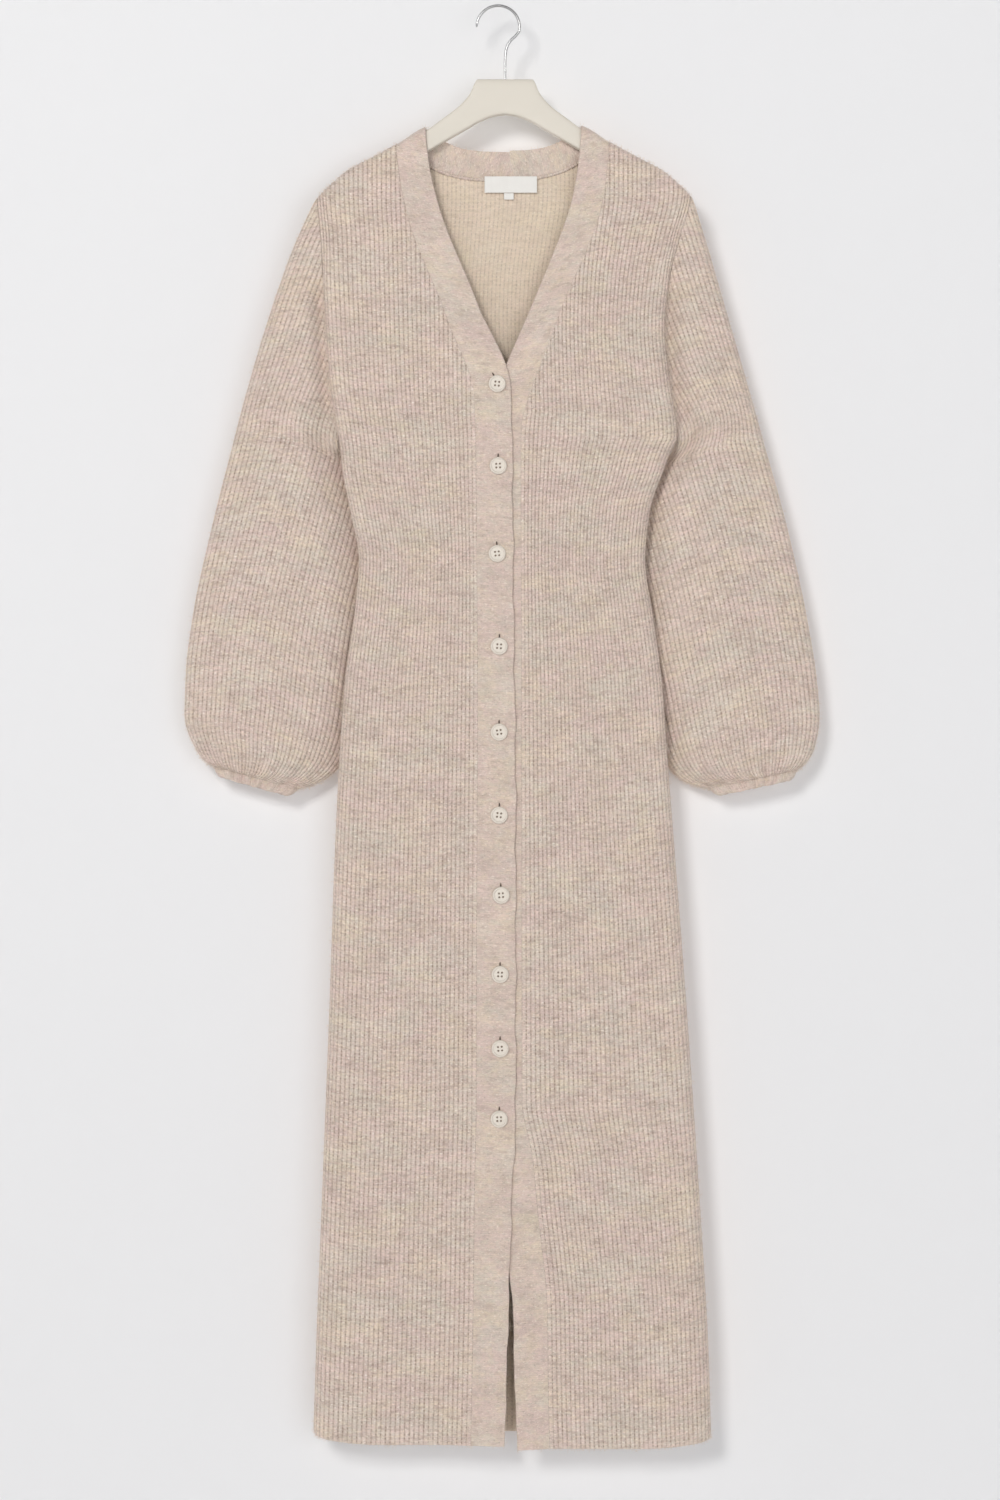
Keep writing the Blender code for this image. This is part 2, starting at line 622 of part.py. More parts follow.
def sleeve_surface(hand):
    """The plain outer face of a sleeve as a function of its rows and of the share of the way round.

    At each station the section is a flat ring between the inner and the outer edge: half circles at both
    edges and two crowned faces between them. Share 0 is the inner edge, 0.5 the outer one, and the front face
    lies between them. A column starts where it leaves the armhole.
    """
    cut = SLEEVE[hand]
    station = np.arange(len(cut["outer"]), dtype=float)
    outward = -1 if hand == "right" else 1
    hole_drop, hole_across, hole_front, hole_back = armhole(hand)
    stations = np.array(SLEEVE_STATIONS)

    def read(column, at):
        return curve(station, cut[column], at)

    def section(share, at):
        """(across, drop, distance from the inner edge, side, width); side is -1 on the front, 1 on the back."""
        outer, outer_drop = read("outer", at), read("outer_drop", at)
        inner, inner_drop = read("inner", at), read("inner_drop", at)
        radius = read("fold", at)
        width = np.hypot(outer - inner, outer_drop - inner_drop)
        quarter, flat = radius * np.pi / 2, width - 2 * radius
        half = 2 * quarter + flat
        arc = (share % 1.0) * 2 * half
        on_back = arc > half
        arc = np.where(on_back, 2 * half - arc, arc)
        start, end = (np.clip(part / radius, 0, np.pi / 2) for part in (arc, arc - quarter - flat))
        away = radius * (1 - np.cos(start)) + np.clip(arc - quarter, 0, flat) + radius * np.sin(end)
        face = np.sin(start) * np.cos(end) * np.where(on_back, 1, -1)
        reach = away / width
        across, drop = inner + (outer - inner) * reach, inner_drop + (outer_drop - inner_drop) * reach
        return across, drop, away, face, width

    def outside(share, at):
        across, drop, *_ = section(share, at)
        past = (across - np.interp(drop, hole_drop, hole_across)) * outward
        return (past >= SEAM_GAP) | (drop >= UNDERARM)

    def surface(row, share):
        low, high = np.zeros(share.shape), np.full(share.shape, HOLE_END)
        for _ in range(HALVINGS):
            middle = (low + high) / 2
            found = outside(share, middle)
            low, high = np.where(found, low, middle), np.where(found, middle, high)
        near = high + np.minimum(SLEEVE_NEAR, SLEEVE_SHORTEST * (stations[0] - high))
        halfway = (near + stations[0]) / 2
        below = np.interp(row - 3, np.arange(len(stations)), stations)
        at = np.where(row < 1, high + (near - high) * row, near + (halfway - near) * (row - 1))
        at = np.where(row > 2, halfway + (stations[0] - halfway) * (row - 2), at)
        at = np.where(row > 3, below, at)
        across, drop, away, face, width = section(share, at)
        turn = 1 - smooth_step(away / INNER_TURN)
        middle_y = read("outer_y", at) + (read("inner_y", at) - read("outer_y", at)) * turn
        own_y = middle_y + face * (read("fold", at) + read("crown", at) * np.sin(np.pi * away / width))
        front_y, back_y = np.interp(drop, hole_drop, hole_front), np.interp(drop, hole_drop, hole_back)
        edge_y = np.where(face < 0, front_y, back_y)
        beside_hole = np.interp(drop, hole_drop, hole_across)
        from_hole = np.hypot(across - beside_hole, np.maximum(drop - UNDERARM, 0))
        y = edge_y + (own_y - edge_y) * smooth_step(from_hole / SLEEVE_BLEND)
        return np.stack([across, y, -drop], axis=-1)

    return surface, 3 + len(stations)


def make_sleeves():
    count = 2 * RIBS["sleeve"]
    half = count // 2
    first, between = SLEEVE_COLUMNS
    kept = [*FOLD_COLUMNS, *range(first, half - between, between), *(half - c for c in FOLD_COLUMNS[:0:-1])]
    kept += [half + column for column in kept]
    for hand in ("right", "left"):
        surface, row_count = sleeve_surface(hand)
        outward = -1 if hand == "right" else 1
        shares = np.arange(count) / count
        ribbed_wall(f"sleeve_{hand}", surface, row_count, shares, kept, RIBS["sleeve"], outward, wrap=True)


def make_cuffs():
    """A narrow plain binding below each sleeve's last row: a flat ring that narrows a little."""
    columns, row_count = CUFF["columns"], CUFF["rows"]
    angle = np.arange(columns) / columns * 2 * np.pi
    round_ring = np.stack([np.cos(angle), np.sin(angle)])
    wide, deep = np.sign(round_ring) * np.abs(round_ring) ** CUFF["roundness"]
    for hand in ("right", "left"):
        cut = {column: values[-1] for column, values in SLEEVE[hand].items()}
        outer = np.array([cut["outer"], -cut["outer_drop"]])
        inner = np.array([cut["inner"], -cut["inner_drop"]])
        along = unit(inner - outer)
        down = np.array([along[1], -along[0]]) * np.sign(along[0])
        middle, half_width = (outer + inner) / 2, np.linalg.norm(inner - outer) / 2
        rings = []
        for wall in (0.0, WALL):
            for step in np.linspace(0, 1, row_count):
                centre = middle + down * (CUFF["gap"] + CUFF["drop"] * step)
                across = (half_width - CUFF["narrowing"] * step - wall) * wide
                y = cut["outer_y"] + (cut["fold"] - wall) * deep
                rings.append(np.stack([centre[0] + along[0] * across, y, centre[1] + along[1] * across], -1))
        outer_rings, inner_rings = np.array(rings[:row_count]), np.array(rings[row_count:])
        wall_object(f"cuff_{hand}", outer_rings, inner_rings, range(columns), "plain_knit", wrap=True)


def apart(values, step):
    """The values that lie at least one step from the value kept before."""
    kept = [values[0]]
    for value in values:
        if abs(value - kept[-1]) >= step:
            kept.append(value)
    return kept


def front_stations(hand):
    """The band's front rows from the hem to the crest: points beside the panel's edge, and free edge points."""
    surface, row_count = panel_surface(hand)
    shares, bends = column_shares(hand)
    corner = int(np.searchsorted(shares, bends[0]))
    rows = np.arange(row_count, dtype=float)[::-1]
    seam_side = surface(rows, np.ones(row_count))
    top = surface(np.zeros(len(shares)), shares)[corner:-1][::-1]
    edge = np.concatenate([seam_side, top])
    neckline, folded = -top[: -FOLD_ROWS - 1, 2], -top[-FOLD_ROWS - 1 :, 2]
    drops = np.sort([*-seam_side[:, 2], *BAND_ROWS[hand], *apart(neckline, V_STEP), *folded])[::-1]
    across = np.interp(-drops, edge[:, 2], edge[:, 0]) - OUTWARD[hand] * BAND_GAP
    y = np.interp(-drops, edge[:, 2], edge[:, 1])
    seam = np.stack([across, y, -drops], axis=-1)

    free_drop, free_across, seam_drop, _ = BAND_LINES[hand]
    at = np.interp(drops, seam_drop, free_drop)
    last = slice(-len(folded), None)
    at[last] = free_drop[0] + drops[last] - drops[-1]
    across = np.interp(at, free_drop, free_across)
    at[last] += crest(across[last]) - free_drop[0]
    y = wall_y("front", across, at)
    if hand == "right":
        y = y - overlap_lift(across, at)
    return seam, np.stack([across, y, -at], axis=-1)


def back_stations(hand):
    """The band's rows from the crest along the back's neck edge to the seam at the middle of the neck."""
    surface, _ = panel_surface("back")
    shares, _ = column_shares("back")
    top = surface(np.zeros(len(shares)), shares)
    corner, corner_drop = NECK_CORNER[hand]
    at_corner = int(np.argmin(np.abs(top[:, 0] - corner)))
    step = -OUTWARD[hand]
    run = [at_corner + step * n for n in (1, 2, 4)]
    while (top[run[-1] + 4 * step, 0] - BACK_NECK_SEAM) * OUTWARD[hand] > BACK_NECK_END:
        run.append(run[-1] + 4 * step)
    end = BACK_NECK_SEAM + OUTWARD[hand] * SEAM_GAP / 2
    across = np.append(top[run, 0], end)
    z = np.interp(across, top[:, 0], top[:, 2]) + BAND_GAP
    y = np.interp(across, top[:, 0], top[:, 1])
    seam = np.stack([across, y, z], axis=-1)

    reach = across / corner
    free_corner = FREE_EDGE[hand]["across"][0]
    free_at = free_corner * reach
    free_at[-1] = BACK_NECK_SEAM * BACK_NECK_LEAN + OUTWARD[hand] * SEAM_GAP / 2
    drop = crest(free_corner) + curve(BACK_NECK["reach"], BACK_NECK["free"], np.abs(free_at / free_corner))
    return seam, np.stack([free_at, wall_y("back", free_at, drop), -drop], axis=-1)


def make_bands():
    for hand in ("right", "left"):
        outer, inner = [], []
        for face, (seam, free) in (("front", front_stations(hand)), ("back", back_stations(hand))):
            for points in (free, seam):
                outer.append(points)
                inner.append(points - WALL * wall_normal(face, points[:, 0], -points[:, 2]))
        outer, inner = (
            np.stack([np.concatenate([lines[0], lines[2]]), np.concatenate([lines[1], lines[3]])], axis=1)
            for lines in (outer, inner)
        )
        wall_object(f"band_{hand}", outer, inner, [0, 1], "plain_knit")


def make_buttons():
    """The buttons' discs, their backs on the right band."""
    profile = list(zip(BUTTON_PROFILE["radius"], BUTTON_PROFILE["up"]))
    sides = BUTTON_SIDES
    angle = np.arange(sides) / sides * 2 * np.pi
    for number, (across, drop) in enumerate(zip(BUTTONS["across"], BUTTONS["drop"]), 1):
        front = float(wall_y("front", across, drop) - overlap_lift(across, drop)) - SEAM_GAP
        points = [
            (across + radius * np.cos(a), front - up, -drop + radius * np.sin(a))
            for radius, up in profile
            for a in angle
        ]
        faces = [list(range(sides)), [sides * (len(profile) - 1) + k for k in range(sides)][::-1]]
        for ring in range(len(profile) - 1):
            for k in range(sides):
                a, b = ring * sides + k, ring * sides + (k + 1) % sides
                faces.append([a, b, b + sides, a + sides])
        add_mesh(f"button_{number:02d}", points, faces, "button_resin")


def make_labels():
    """Two flat strips on the inside of the back, under the neckband's seam."""
    middle_drop = (LABEL["top"] + LABEL["bottom"]) / 2
    inside = float(wall_y("back", 0.0, middle_drop)) - WALL - SEAM_GAP
    for name, strip in (("neck_label", LABEL), ("size_tab", SIZE_TAB)):
        low = np.array([strip["left"], inside - LABEL_THICKNESS, -strip["bottom"]])
        high = np.array([strip["right"], inside, -strip["top"]])
        points = [[(low, high)[(i >> axis) & 1][axis] for axis in range(3)] for i in range(8)]
        faces = [[0, 1, 3, 2], [4, 6, 7, 5], [0, 4, 5, 1], [2, 3, 7, 6], [0, 2, 6, 4], [1, 5, 7, 3]]
        add_mesh(name, points, faces, "woven_label", smooth=False)


def make_hanger():
    """A flat plate with bevelled edges: one section carried from tip to tip."""
    arm = HANGER_ARM["from_middle"]
    at = HANGER_MIDDLE + arm
    arm_top = crest(at) + (WALL + HANGER_CLEARANCE) * np.hypot(1, crest_slope(at))
    reach = np.concatenate([HANGER["from_middle"], arm])
    top = np.concatenate([HANGER["top"], arm_top])
    bottom = np.concatenate([HANGER["bottom"], arm_top + HANGER_ARM["height"]])
    reach = np.concatenate([-reach[:0:-1], reach])
    top, bottom = (np.concatenate([line[:0:-1], line]) for line in (top, bottom))
    bevel = np.minimum(HANGER_BEVEL, (bottom - top) * HANGER_BEVEL_SHARE)[:, None]
    low = HANGER_SECTION["low"]
    drop = top[:, None] * (1 - low) + bottom[:, None] * low + bevel * HANGER_SECTION["bevels"]
    y = HANGER_SECTION["half_depths"] * HANGER_THICKNESS / 2
    across = HANGER_MIDDLE + reach[:, None]
    points = np.stack(np.broadcast_arrays(across, y, -drop), axis=-1).reshape(-1, 3)
    n = len(low)
    faces = [list(range(n)), [len(points) - n + k for k in range(n)][::-1]]
    for ring in range(len(reach) - 1):
        for k in range(n):
            a, b = ring * n + k, ring * n + (k + 1) % n
            faces.append([a, a + n, b + n, b])
    add_mesh("hanger_body", points, faces, "hanger_finish")


def make_hook():
    """A wire: three quarters of a circle whose inner top is the seat, then a swan neck down to the plate."""
    bend_points, tail_points = HOOK_POINTS
    angle = np.radians(np.linspace(*HOOK_BEND_ANGLES, bend_points))
    bend = np.stack([HOOK_BEND * np.cos(angle), HOOK_BEND * (np.sin(angle) - 1) + HOOK_WIRE], -1)
    shank_end = HANGER["top"][0] - SEAM_GAP
    tail_drop = np.append(HOOK_TAIL["drop"], shank_end)
    tail_across = np.append(HOOK_TAIL["across"], HOOK_TAIL["across"][-1])
    drop = np.linspace(tail_drop[0], shank_end, tail_points)
    tail = np.stack([curve(tail_drop, tail_across, drop), -drop], -1)
    data = bpy.data.curves.new("hook", "CURVE")
    data.dimensions = "3D"
    data.bevel_depth = HOOK_WIRE
    data.bevel_resolution = 1
    data.use_fill_caps = True
    path = np.concatenate([bend, tail])
    spline = data.splines.new("POLY")
    spline.points.add(len(path) - 1)
    for point, (x, z) in zip(spline.points, path):
        point.co = (x, 0, z, 1)
    data.materials.append(bpy.data.materials["steel_wire"])
    obj = bpy.data.objects.new("hook", data)
    bpy.context.scene.collection.objects.link(obj)


def make_materials():
    for name, (colour, roughness, metallic) in MATERIALS.items():
        material = bpy.data.materials.new(name)
        material.use_nodes = True
        shader = material.node_tree.nodes["Principled BSDF"]
        shader.inputs["Base Color"].default_value = (*colour, 1)
        shader.inputs["Roughness"].default_value = roughness
        shader.inputs["Metallic"].default_value = metallic


def main():
    for obj in list(bpy.data.objects):
        bpy.data.objects.remove(obj)
    make_materials()
    make_panels()
    make_sleeves()
    make_cuffs()
    make_bands()
    make_buttons()
    make_labels()
    make_hanger()
    make_hook()


main()
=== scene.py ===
"""A long ribbed knit dress on a flat hanger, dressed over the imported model.

Lengths are in metres. +X is to the right seen from the front, -Y is the front and +Z is up. The origin is the
seat of the hanger's hook. In the pattern tables a drop is a distance below the seat, and across is a distance to
the right of the table line, which runs TABLE_LINE to the right of the seat. Right and left are the wearer's.
"""

import json

import bmesh
import bpy
import numpy as np
from bpy.props import FloatProperty, FloatVectorProperty, IntProperty, PointerProperty
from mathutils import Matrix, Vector

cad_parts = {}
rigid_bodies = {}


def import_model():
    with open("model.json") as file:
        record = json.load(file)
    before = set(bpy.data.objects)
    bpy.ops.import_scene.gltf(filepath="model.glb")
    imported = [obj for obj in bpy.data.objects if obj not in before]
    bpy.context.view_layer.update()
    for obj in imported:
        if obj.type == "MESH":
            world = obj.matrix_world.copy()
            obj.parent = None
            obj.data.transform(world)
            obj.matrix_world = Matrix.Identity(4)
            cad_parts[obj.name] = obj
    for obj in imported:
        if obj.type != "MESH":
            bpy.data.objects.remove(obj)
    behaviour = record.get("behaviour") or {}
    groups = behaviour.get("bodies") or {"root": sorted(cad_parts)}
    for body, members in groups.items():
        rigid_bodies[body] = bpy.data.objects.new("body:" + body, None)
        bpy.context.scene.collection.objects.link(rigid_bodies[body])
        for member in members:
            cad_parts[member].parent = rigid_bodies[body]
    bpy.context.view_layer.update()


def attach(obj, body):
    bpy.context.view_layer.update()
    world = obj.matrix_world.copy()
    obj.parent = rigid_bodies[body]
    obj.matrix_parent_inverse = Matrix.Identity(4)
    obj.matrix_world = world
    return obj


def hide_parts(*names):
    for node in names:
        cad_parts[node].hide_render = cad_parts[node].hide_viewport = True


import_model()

bl_info = {
    "name": "Knit dress on a hanger",
    "version": (1, 0, 0),
    "blender": (4, 5, 0),
    "location": "View3D > Sidebar > Dress",
    "description": "Knits a long ribbed dress with its bands, buttons and label, and hangs it on its hanger",
    "category": "Object",
}


# ---------------------------------------------------------------- sizes and colours


def length_property(name, description, default):
    return FloatProperty(name=name, description=description, default=default, unit="LENGTH")


def colour_property(name, description, default):
    return FloatVectorProperty(name=name, description=description, default=default, subtype="COLOR")


class DressSizes(bpy.types.PropertyGroup):
    """The sizes of the cloth, its trims and the hanger."""

    wall: length_property("Cloth thickness", "Thickness of the knitted cloth between two ribs", 0.0024)
    rib_height: length_property("Rib height", "How far a rib stands over the valley beside it", 0.0009)
    stitch: length_property("Stitch length", "Length of one stitch along a rib", 0.0040)
    sleeve_pitch: length_property("Sleeve rib width", "Width of one rib on a sleeve", 0.0048)
    gather: length_property("Gather depth", "Depth of the gathers above a cuff", 0.0016)
    wave: length_property("Hanging wave", "Depth of the soft waves of the hanging cloth", 0.0005)
    button_radius: length_property("Button radius", "Radius of a button", 0.0089)
    button_thickness: length_property("Button thickness", "Height of a button's rim over the cloth", 0.0028)
    hole_radius: length_property("Button hole radius", "Radius of each of the four holes", 0.0011)
    hole_spread: length_property("Button hole spread", "Distance of a hole from the button's middle", 0.0027)
    buttonhole: length_property("Buttonhole length", "Length of a worked buttonhole", 0.0215)
    hanger_thickness: length_property("Hanger thickness", "Thickness of the hanger's plate", 0.0120)
    wire: length_property("Hook wire radius", "Radius of the hook's wire", 0.0014)
    fibres: IntProperty(name="Loose fibres", description="Number of loose fibres on the brushed cloth", default=32000)
    fibre_length: length_property("Fibre length", "Length of a loose fibre", 0.0055)


class DressColours(bpy.types.PropertyGroup):
    """The colours of the cloth, the trims, the hanger and the stage, in linear light."""

    yarn: colour_property("Yarn", "Main colour of the heather yarn", (0.650, 0.532, 0.458))
    pink: colour_property("Pink fleck", "The warm tint of the heather", (0.665, 0.520, 0.475))
    straw: colour_property("Straw fleck", "The yellow tint of the heather", (0.710, 0.605, 0.450))
    grey: colour_property("Grey fleck", "The cool tint of the heather", (0.630, 0.590, 0.500))
    brown: colour_property("Brown fleck", "The dark tint of the heather", (0.500, 0.385, 0.325))
    # painted shade: the darker colour painted into the valleys between ribs and between the bands' courses
    shade: colour_property("Valley", "Colour between two ribs", (0.330, 0.245, 0.190))
    button: colour_property("Button", "Colour of the buttons", (0.775, 0.712, 0.628))
    # the thread's colour also stands for the painted shade in the buttons' holes
    thread: colour_property("Thread", "Colour of the sewing thread", (0.200, 0.145, 0.105))
    label: colour_property("Label", "Colour of the woven label", (0.810, 0.790, 0.750))
    hanger: colour_property("Hanger", "Colour of the hanger's lacquer", (0.705, 0.660, 0.578))
    wire: colour_property("Wire", "Colour of the hook's steel", (0.430, 0.430, 0.430))
    wall: colour_property("Wall", "Colour of the studio wall and floor", (0.825, 0.825, 0.832))


def sizes():
    return bpy.context.scene.dress_sizes


def colour_of(name):
    return tuple(getattr(bpy.context.scene.dress_colours, name))


# ---------------------------------------------------------------- the pattern, as the part's own tables

TABLE_LINE = 0.005
HANGER_MIDDLE = 0.002
SEAM_GAP = 0.0003
SHOULDER_RADIUS = 0.009
OVERLAP_LIFT = 0.0036
LIFT_RUN = 0.030
HALVINGS = 40
OUTWARD = {"right": -1, "left": 1}
RIBS = {"right": 35, "left": 38, "back": 88}
UNDERARM = 0.446
V_BASE = 0.420
SIDE_FOLD = {"front": (0.235, 0.300), "back": (0.405, 0.446)}
OVERLAP = (0.300, 0.350)
HEM = {"right": 1.478, "left": 1.482, "back": 1.470}
HEM_LIFT = {"rise": 0.0107, "run": 0.080}  # the hem rises towards the side seams
WAVES = {  # run, slant, start, share
    "front": ((0.0265, 1.4, 0.0, 1.0), (0.0157, -3.0, 1.0, 0.4), (0.041, 6.0, 2.2, 1.2)),
    "back": ((0.024, 2.0, 0.0, 1.0), (0.014, -2.0, 0.0, 0.7)),
}
WAVE_SHARE = {"front": 0.5, "back": 0.35}
HEM_ROWS = (0.0060, 0.0040, 0.0024, 0.0012, 0.0006, 0.0002, 0.0)  # rows above the hem's edge


def table(columns, *rows):
    """The rows as one array for each named column."""
    return dict(zip(columns.split(), np.array(rows, float).T))


BODY = table(
    "drop   right   left   half_depth",
    (0.120, -0.191, 0.193, 0.0096),
    (0.192, -0.191, 0.193, 0.0098),
    (0.240, -0.187, 0.181, 0.0104),
    (0.281, -0.185, 0.171, 0.0112),
    (0.330, -0.182, 0.166, 0.0120),
    (0.384, -0.178, 0.171, 0.0126),
    (0.443, -0.169, 0.179, 0.0130),
    (0.456, -0.167, 0.173, 0.0130),
    (0.477, -0.165, 0.165, 0.0128),
    (0.518, -0.157, 0.151, 0.0122),
    (0.570, -0.148, 0.146, 0.0120),
    (0.621, -0.152, 0.153, 0.0124),
    (0.693, -0.162, 0.163, 0.0132),
    (0.776, -0.168, 0.169, 0.0140),
    (0.879, -0.173, 0.177, 0.0145),
    (1.023, -0.178, 0.188, 0.0150),
    (1.229, -0.186, 0.202, 0.0154),
    (1.383, -0.192, 0.211, 0.0156),
    (1.480, -0.195, 0.214, 0.0156),
)
SHOULDER = table(
    "from_middle drop",
    (0.000, 0.098),
    (0.081, 0.1232),
    (0.106, 0.1385),
    (0.137, 0.1555),
    (0.160, 0.1675),
    (0.178, 0.1820),
    (0.190, 0.1940),
    (0.205, 0.2110),
)
FREE_EDGE = {
    "right": table(
        "drop   across  width",
        (0.1235, -0.080, 0.030),
        (0.151, -0.078, 0.031),
        (0.195, -0.069, 0.033),
        (0.227, -0.059, 0.034),
        (0.261, -0.045, 0.034),
        (0.289, -0.033, 0.034),
        (0.317, -0.022, 0.035),
        (0.347, -0.007, 0.037),
        (0.373, 0.004, 0.038),
        (0.392, 0.008, 0.038),
        (0.456, 0.0095, 0.037),
        (0.631, 0.011, 0.037),
        (0.817, 0.013, 0.039),
        (1.126, 0.013, 0.040),
        (1.229, 0.009, 0.038),
        (1.332, 0.006, 0.036),
        (1.500, 0.001, 0.034),
    ),
    "left": table(
        "drop   across  width",
        (0.1235, 0.081, 0.028),
        (0.151, 0.079, 0.029),
        (0.199, 0.071, 0.031),
        (0.225, 0.063, 0.031),
        (0.254, 0.052, 0.030),
        (0.288, 0.038, 0.029),
        (0.317, 0.026, 0.030),
        (0.349, 0.012, 0.032),
        (0.392, -0.006, 0.034),
        (0.420, -0.015, 0.035),
        (0.456, -0.019, 0.037),
        (1.126, -0.019, 0.038),
        (1.188, -0.008, 0.038),
        (1.249, 0.000, 0.036),
        (1.291, 0.005, 0.036),
        (1.340, 0.010, 0.035),
        (1.421, 0.012, 0.034),
        (1.500, 0.016, 0.032),
    ),
}
BAND_POINTS = 800
BACK_NECK = table(
    "reach free   seam",
    (0.00, 0.0240, 0.0365),
    (0.25, 0.0235, 0.0355),
    (0.50, 0.0210, 0.0305),
    (0.75, 0.0135, 0.0180),
    (0.90, 0.0062, 0.0075),
    (1.00, 0.0000, 0.0000),
)
BACK_NECK_SEAM = 0.009
BACK_NECK_LEAN = 0.75
BACK_NECK_PAST = 1.2
SLEEVE_DEPTH = table(
    "fold   crown  outer_y inner_y",
    (0.0096, 0.000, 0.000, 0.002),
    (0.0096, 0.002, 0.002, 0.010),
    (0.0094, 0.004, 0.004, 0.016),
    (0.0090, 0.006, 0.006, 0.022),
    (0.0085, 0.008, 0.008, 0.026),
    (0.0080, 0.009, 0.009, 0.027),
    (0.0078, 0.011, 0.010, 0.027),
    (0.0078, 0.013, 0.011, 0.027),
    (0.0078, 0.013, 0.011, 0.027),
    (0.0078, 0.012, 0.011, 0.027),
    (0.0074, 0.009, 0.011, 0.026),
    (0.0070, 0.004, 0.011, 0.020),
    (0.0065, 0.000, 0.011, 0.013),
)
SLEEVE = {
    "right": SLEEVE_DEPTH
    | table(
        "outer  outer_drop inner inner_drop",
        (-0.191, 0.1974, -0.091, 0.232),
        (-0.212, 0.240, -0.108, 0.277),
        (-0.230, 0.287, -0.125, 0.322),
        (-0.250, 0.348, -0.145, 0.381),
        (-0.268, 0.410, -0.1695, 0.446),
        (-0.280, 0.456, -0.156, 0.492),
        (-0.296, 0.518, -0.145, 0.552),
        (-0.319, 0.621, -0.140, 0.640),
        (-0.327, 0.683, -0.146, 0.703),
        (-0.3285, 0.729, -0.155, 0.752),
        (-0.319, 0.760, -0.171, 0.784),
        (-0.308, 0.776, -0.193, 0.800),
        (-0.298, 0.782, -0.213, 0.806),
    ),
    "left": SLEEVE_DEPTH
    | table(
        "outer  outer_drop inner inner_drop",
        (0.193, 0.1951, 0.093, 0.232),
        (0.208, 0.240, 0.108, 0.277),
        (0.222, 0.287, 0.124, 0.322),
        (0.240, 0.348, 0.148, 0.381),
        (0.258, 0.410, 0.1795, 0.446),
        (0.272, 0.460, 0.151, 0.490),
        (0.290, 0.524, 0.138, 0.552),
        (0.312, 0.621, 0.136, 0.640),
        (0.323, 0.688, 0.148, 0.706),
        (0.3265, 0.730, 0.158, 0.752),
        (0.3215, 0.762, 0.173, 0.785),
        (0.312, 0.779, 0.193, 0.800),
        (0.303, 0.786, 0.214, 0.805),
    ),
}
HOLE_END = 4.2  # the armhole ends before this table row
SLEEVE_START = 4.5  # the table row at which the rows below the armhole begin
SLEEVE_BLEND = 0.022
INNER_TURN = 0.045
CUFF = {"gap": 0.0008, "drop": 0.0085, "narrowing": 0.0035}
BUTTONS = table(  # with each button's turn and its buttonhole's lean to the right, in radians
    "across  drop   turn   lean",
    (-0.006, 0.390, -0.10, -0.50),
    (-0.005, 0.474, 0.05, 0.0),
    (-0.006, 0.564, 0.12, -0.05),
    (-0.004, 0.659, -0.06, 0.04),
    (-0.004, 0.747, 0.16, 0.0),
    (-0.004, 0.832, -0.12, 0.03),
    (-0.002, 0.914, 0.08, -0.04),
    (-0.003, 0.995, -0.04, 0.0),
    (-0.003, 1.071, 0.11, 0.0),
    (-0.004, 1.143, 0.02, 0.02),
)
LABEL = {"left": -0.019, "right": 0.035, "top": 0.1735, "bottom": 0.1905}
SIZE_TAB = {"left": 0.001, "right": 0.011, "top": 0.1908, "bottom": 0.1975}
HANGER = table(
    "from_middle top  bottom",
    (0.000, 0.0750, 0.1110),
    (0.012, 0.0750, 0.1130),
    (0.028, 0.0750, 0.1195),
    (0.0365, 0.0905, 0.1245),
    (0.047, 0.1025, 0.1305),
    (0.062, 0.1140, 0.1390),
    (0.079, 0.1264, 0.1490),
)
HANGER_ARM = table(
    "from_middle height",
    (0.110, 0.0210),
    (0.140, 0.0200),
    (0.165, 0.0170),
    (0.176, 0.0130),
    (0.181, 0.0060),
)
HANGER_CLEARANCE = 0.0014
HANGER_SIDES = 40
HOOK_BEND = 0.0221
HOOK_BEND_ANGLES = (180, -12)
HOOK_TIP = (0.35, 0.72, 0.92)  # shares of the wire's radius at its rounded tip
HOOK_TAIL = table(
    "across  drop",
    (0.0190, 0.0290),
    (0.0130, 0.0345),
    (0.0092, 0.0410),
    (0.0075, 0.0500),
    (0.0072, 0.0600),
)


# ---------------------------------------------------------------- curves and the body's outer face


def unit(vectors):
    return vectors / np.linalg.norm(vectors, axis=-1, keepdims=True)


def smooth_step(share):
    share = np.clip(share, 0, 1)
    return share * share * (3 - 2 * share)


def curve(xs, ys, at):
    """A smooth curve through the points (xs, ys), read at `at`.

    Each stretch is a cubic. Its slope at a point is the harmonic mean of the two chords that meet there, so the
    curve never overshoots, and it runs on straight past both ends.
    """
    at = np.asarray(at, float)
    chords = np.diff(ys) / np.diff(xs)
    slopes = np.concatenate([chords[:1], np.zeros(len(chords) - 1), chords[-1:]])
    rising = chords[1:] * chords[:-1] > 0
    slopes[1:-1][rising] = (2 * chords[1:] * chords[:-1])[rising] / (chords[1:] + chords[:-1])[rising]
    held = np.clip(at, xs[0], xs[-1])
    i = np.clip(np.searchsorted(xs, held, side="right") - 1, 0, len(xs) - 2)
    run = xs[i + 1] - xs[i]
    t = (held - xs[i]) / run
    value = (
        ys[i] * (1 + 2 * t) * (1 - t) ** 2
        + ys[i + 1] * t * t * (3 - 2 * t)
        + run * (slopes[i] * t * (1 - t) ** 2 - slopes[i + 1] * t * t * (1 - t))
    )
    end_slope = np.where(at < xs[0], slopes[0], slopes[-1])
    return value + end_slope * (at - held)


def least(low, high, holds):
    """The least values between low and high at which the test holds, by halving."""
    for _ in range(HALVINGS):
        middle = (low + high) / 2
        found = holds(middle)
        low, high = np.where(found, low, middle), np.where(found, middle, high)
    return high


def settled(value, step):
    """The value that a step leads back to, found by taking it again and again."""
    for _ in range(HALVINGS):
        value = float(step(value))
    return value


def angles(count):
    """Evenly spaced angles round a circle."""
    return np.arange(count) / count * 2 * np.pi


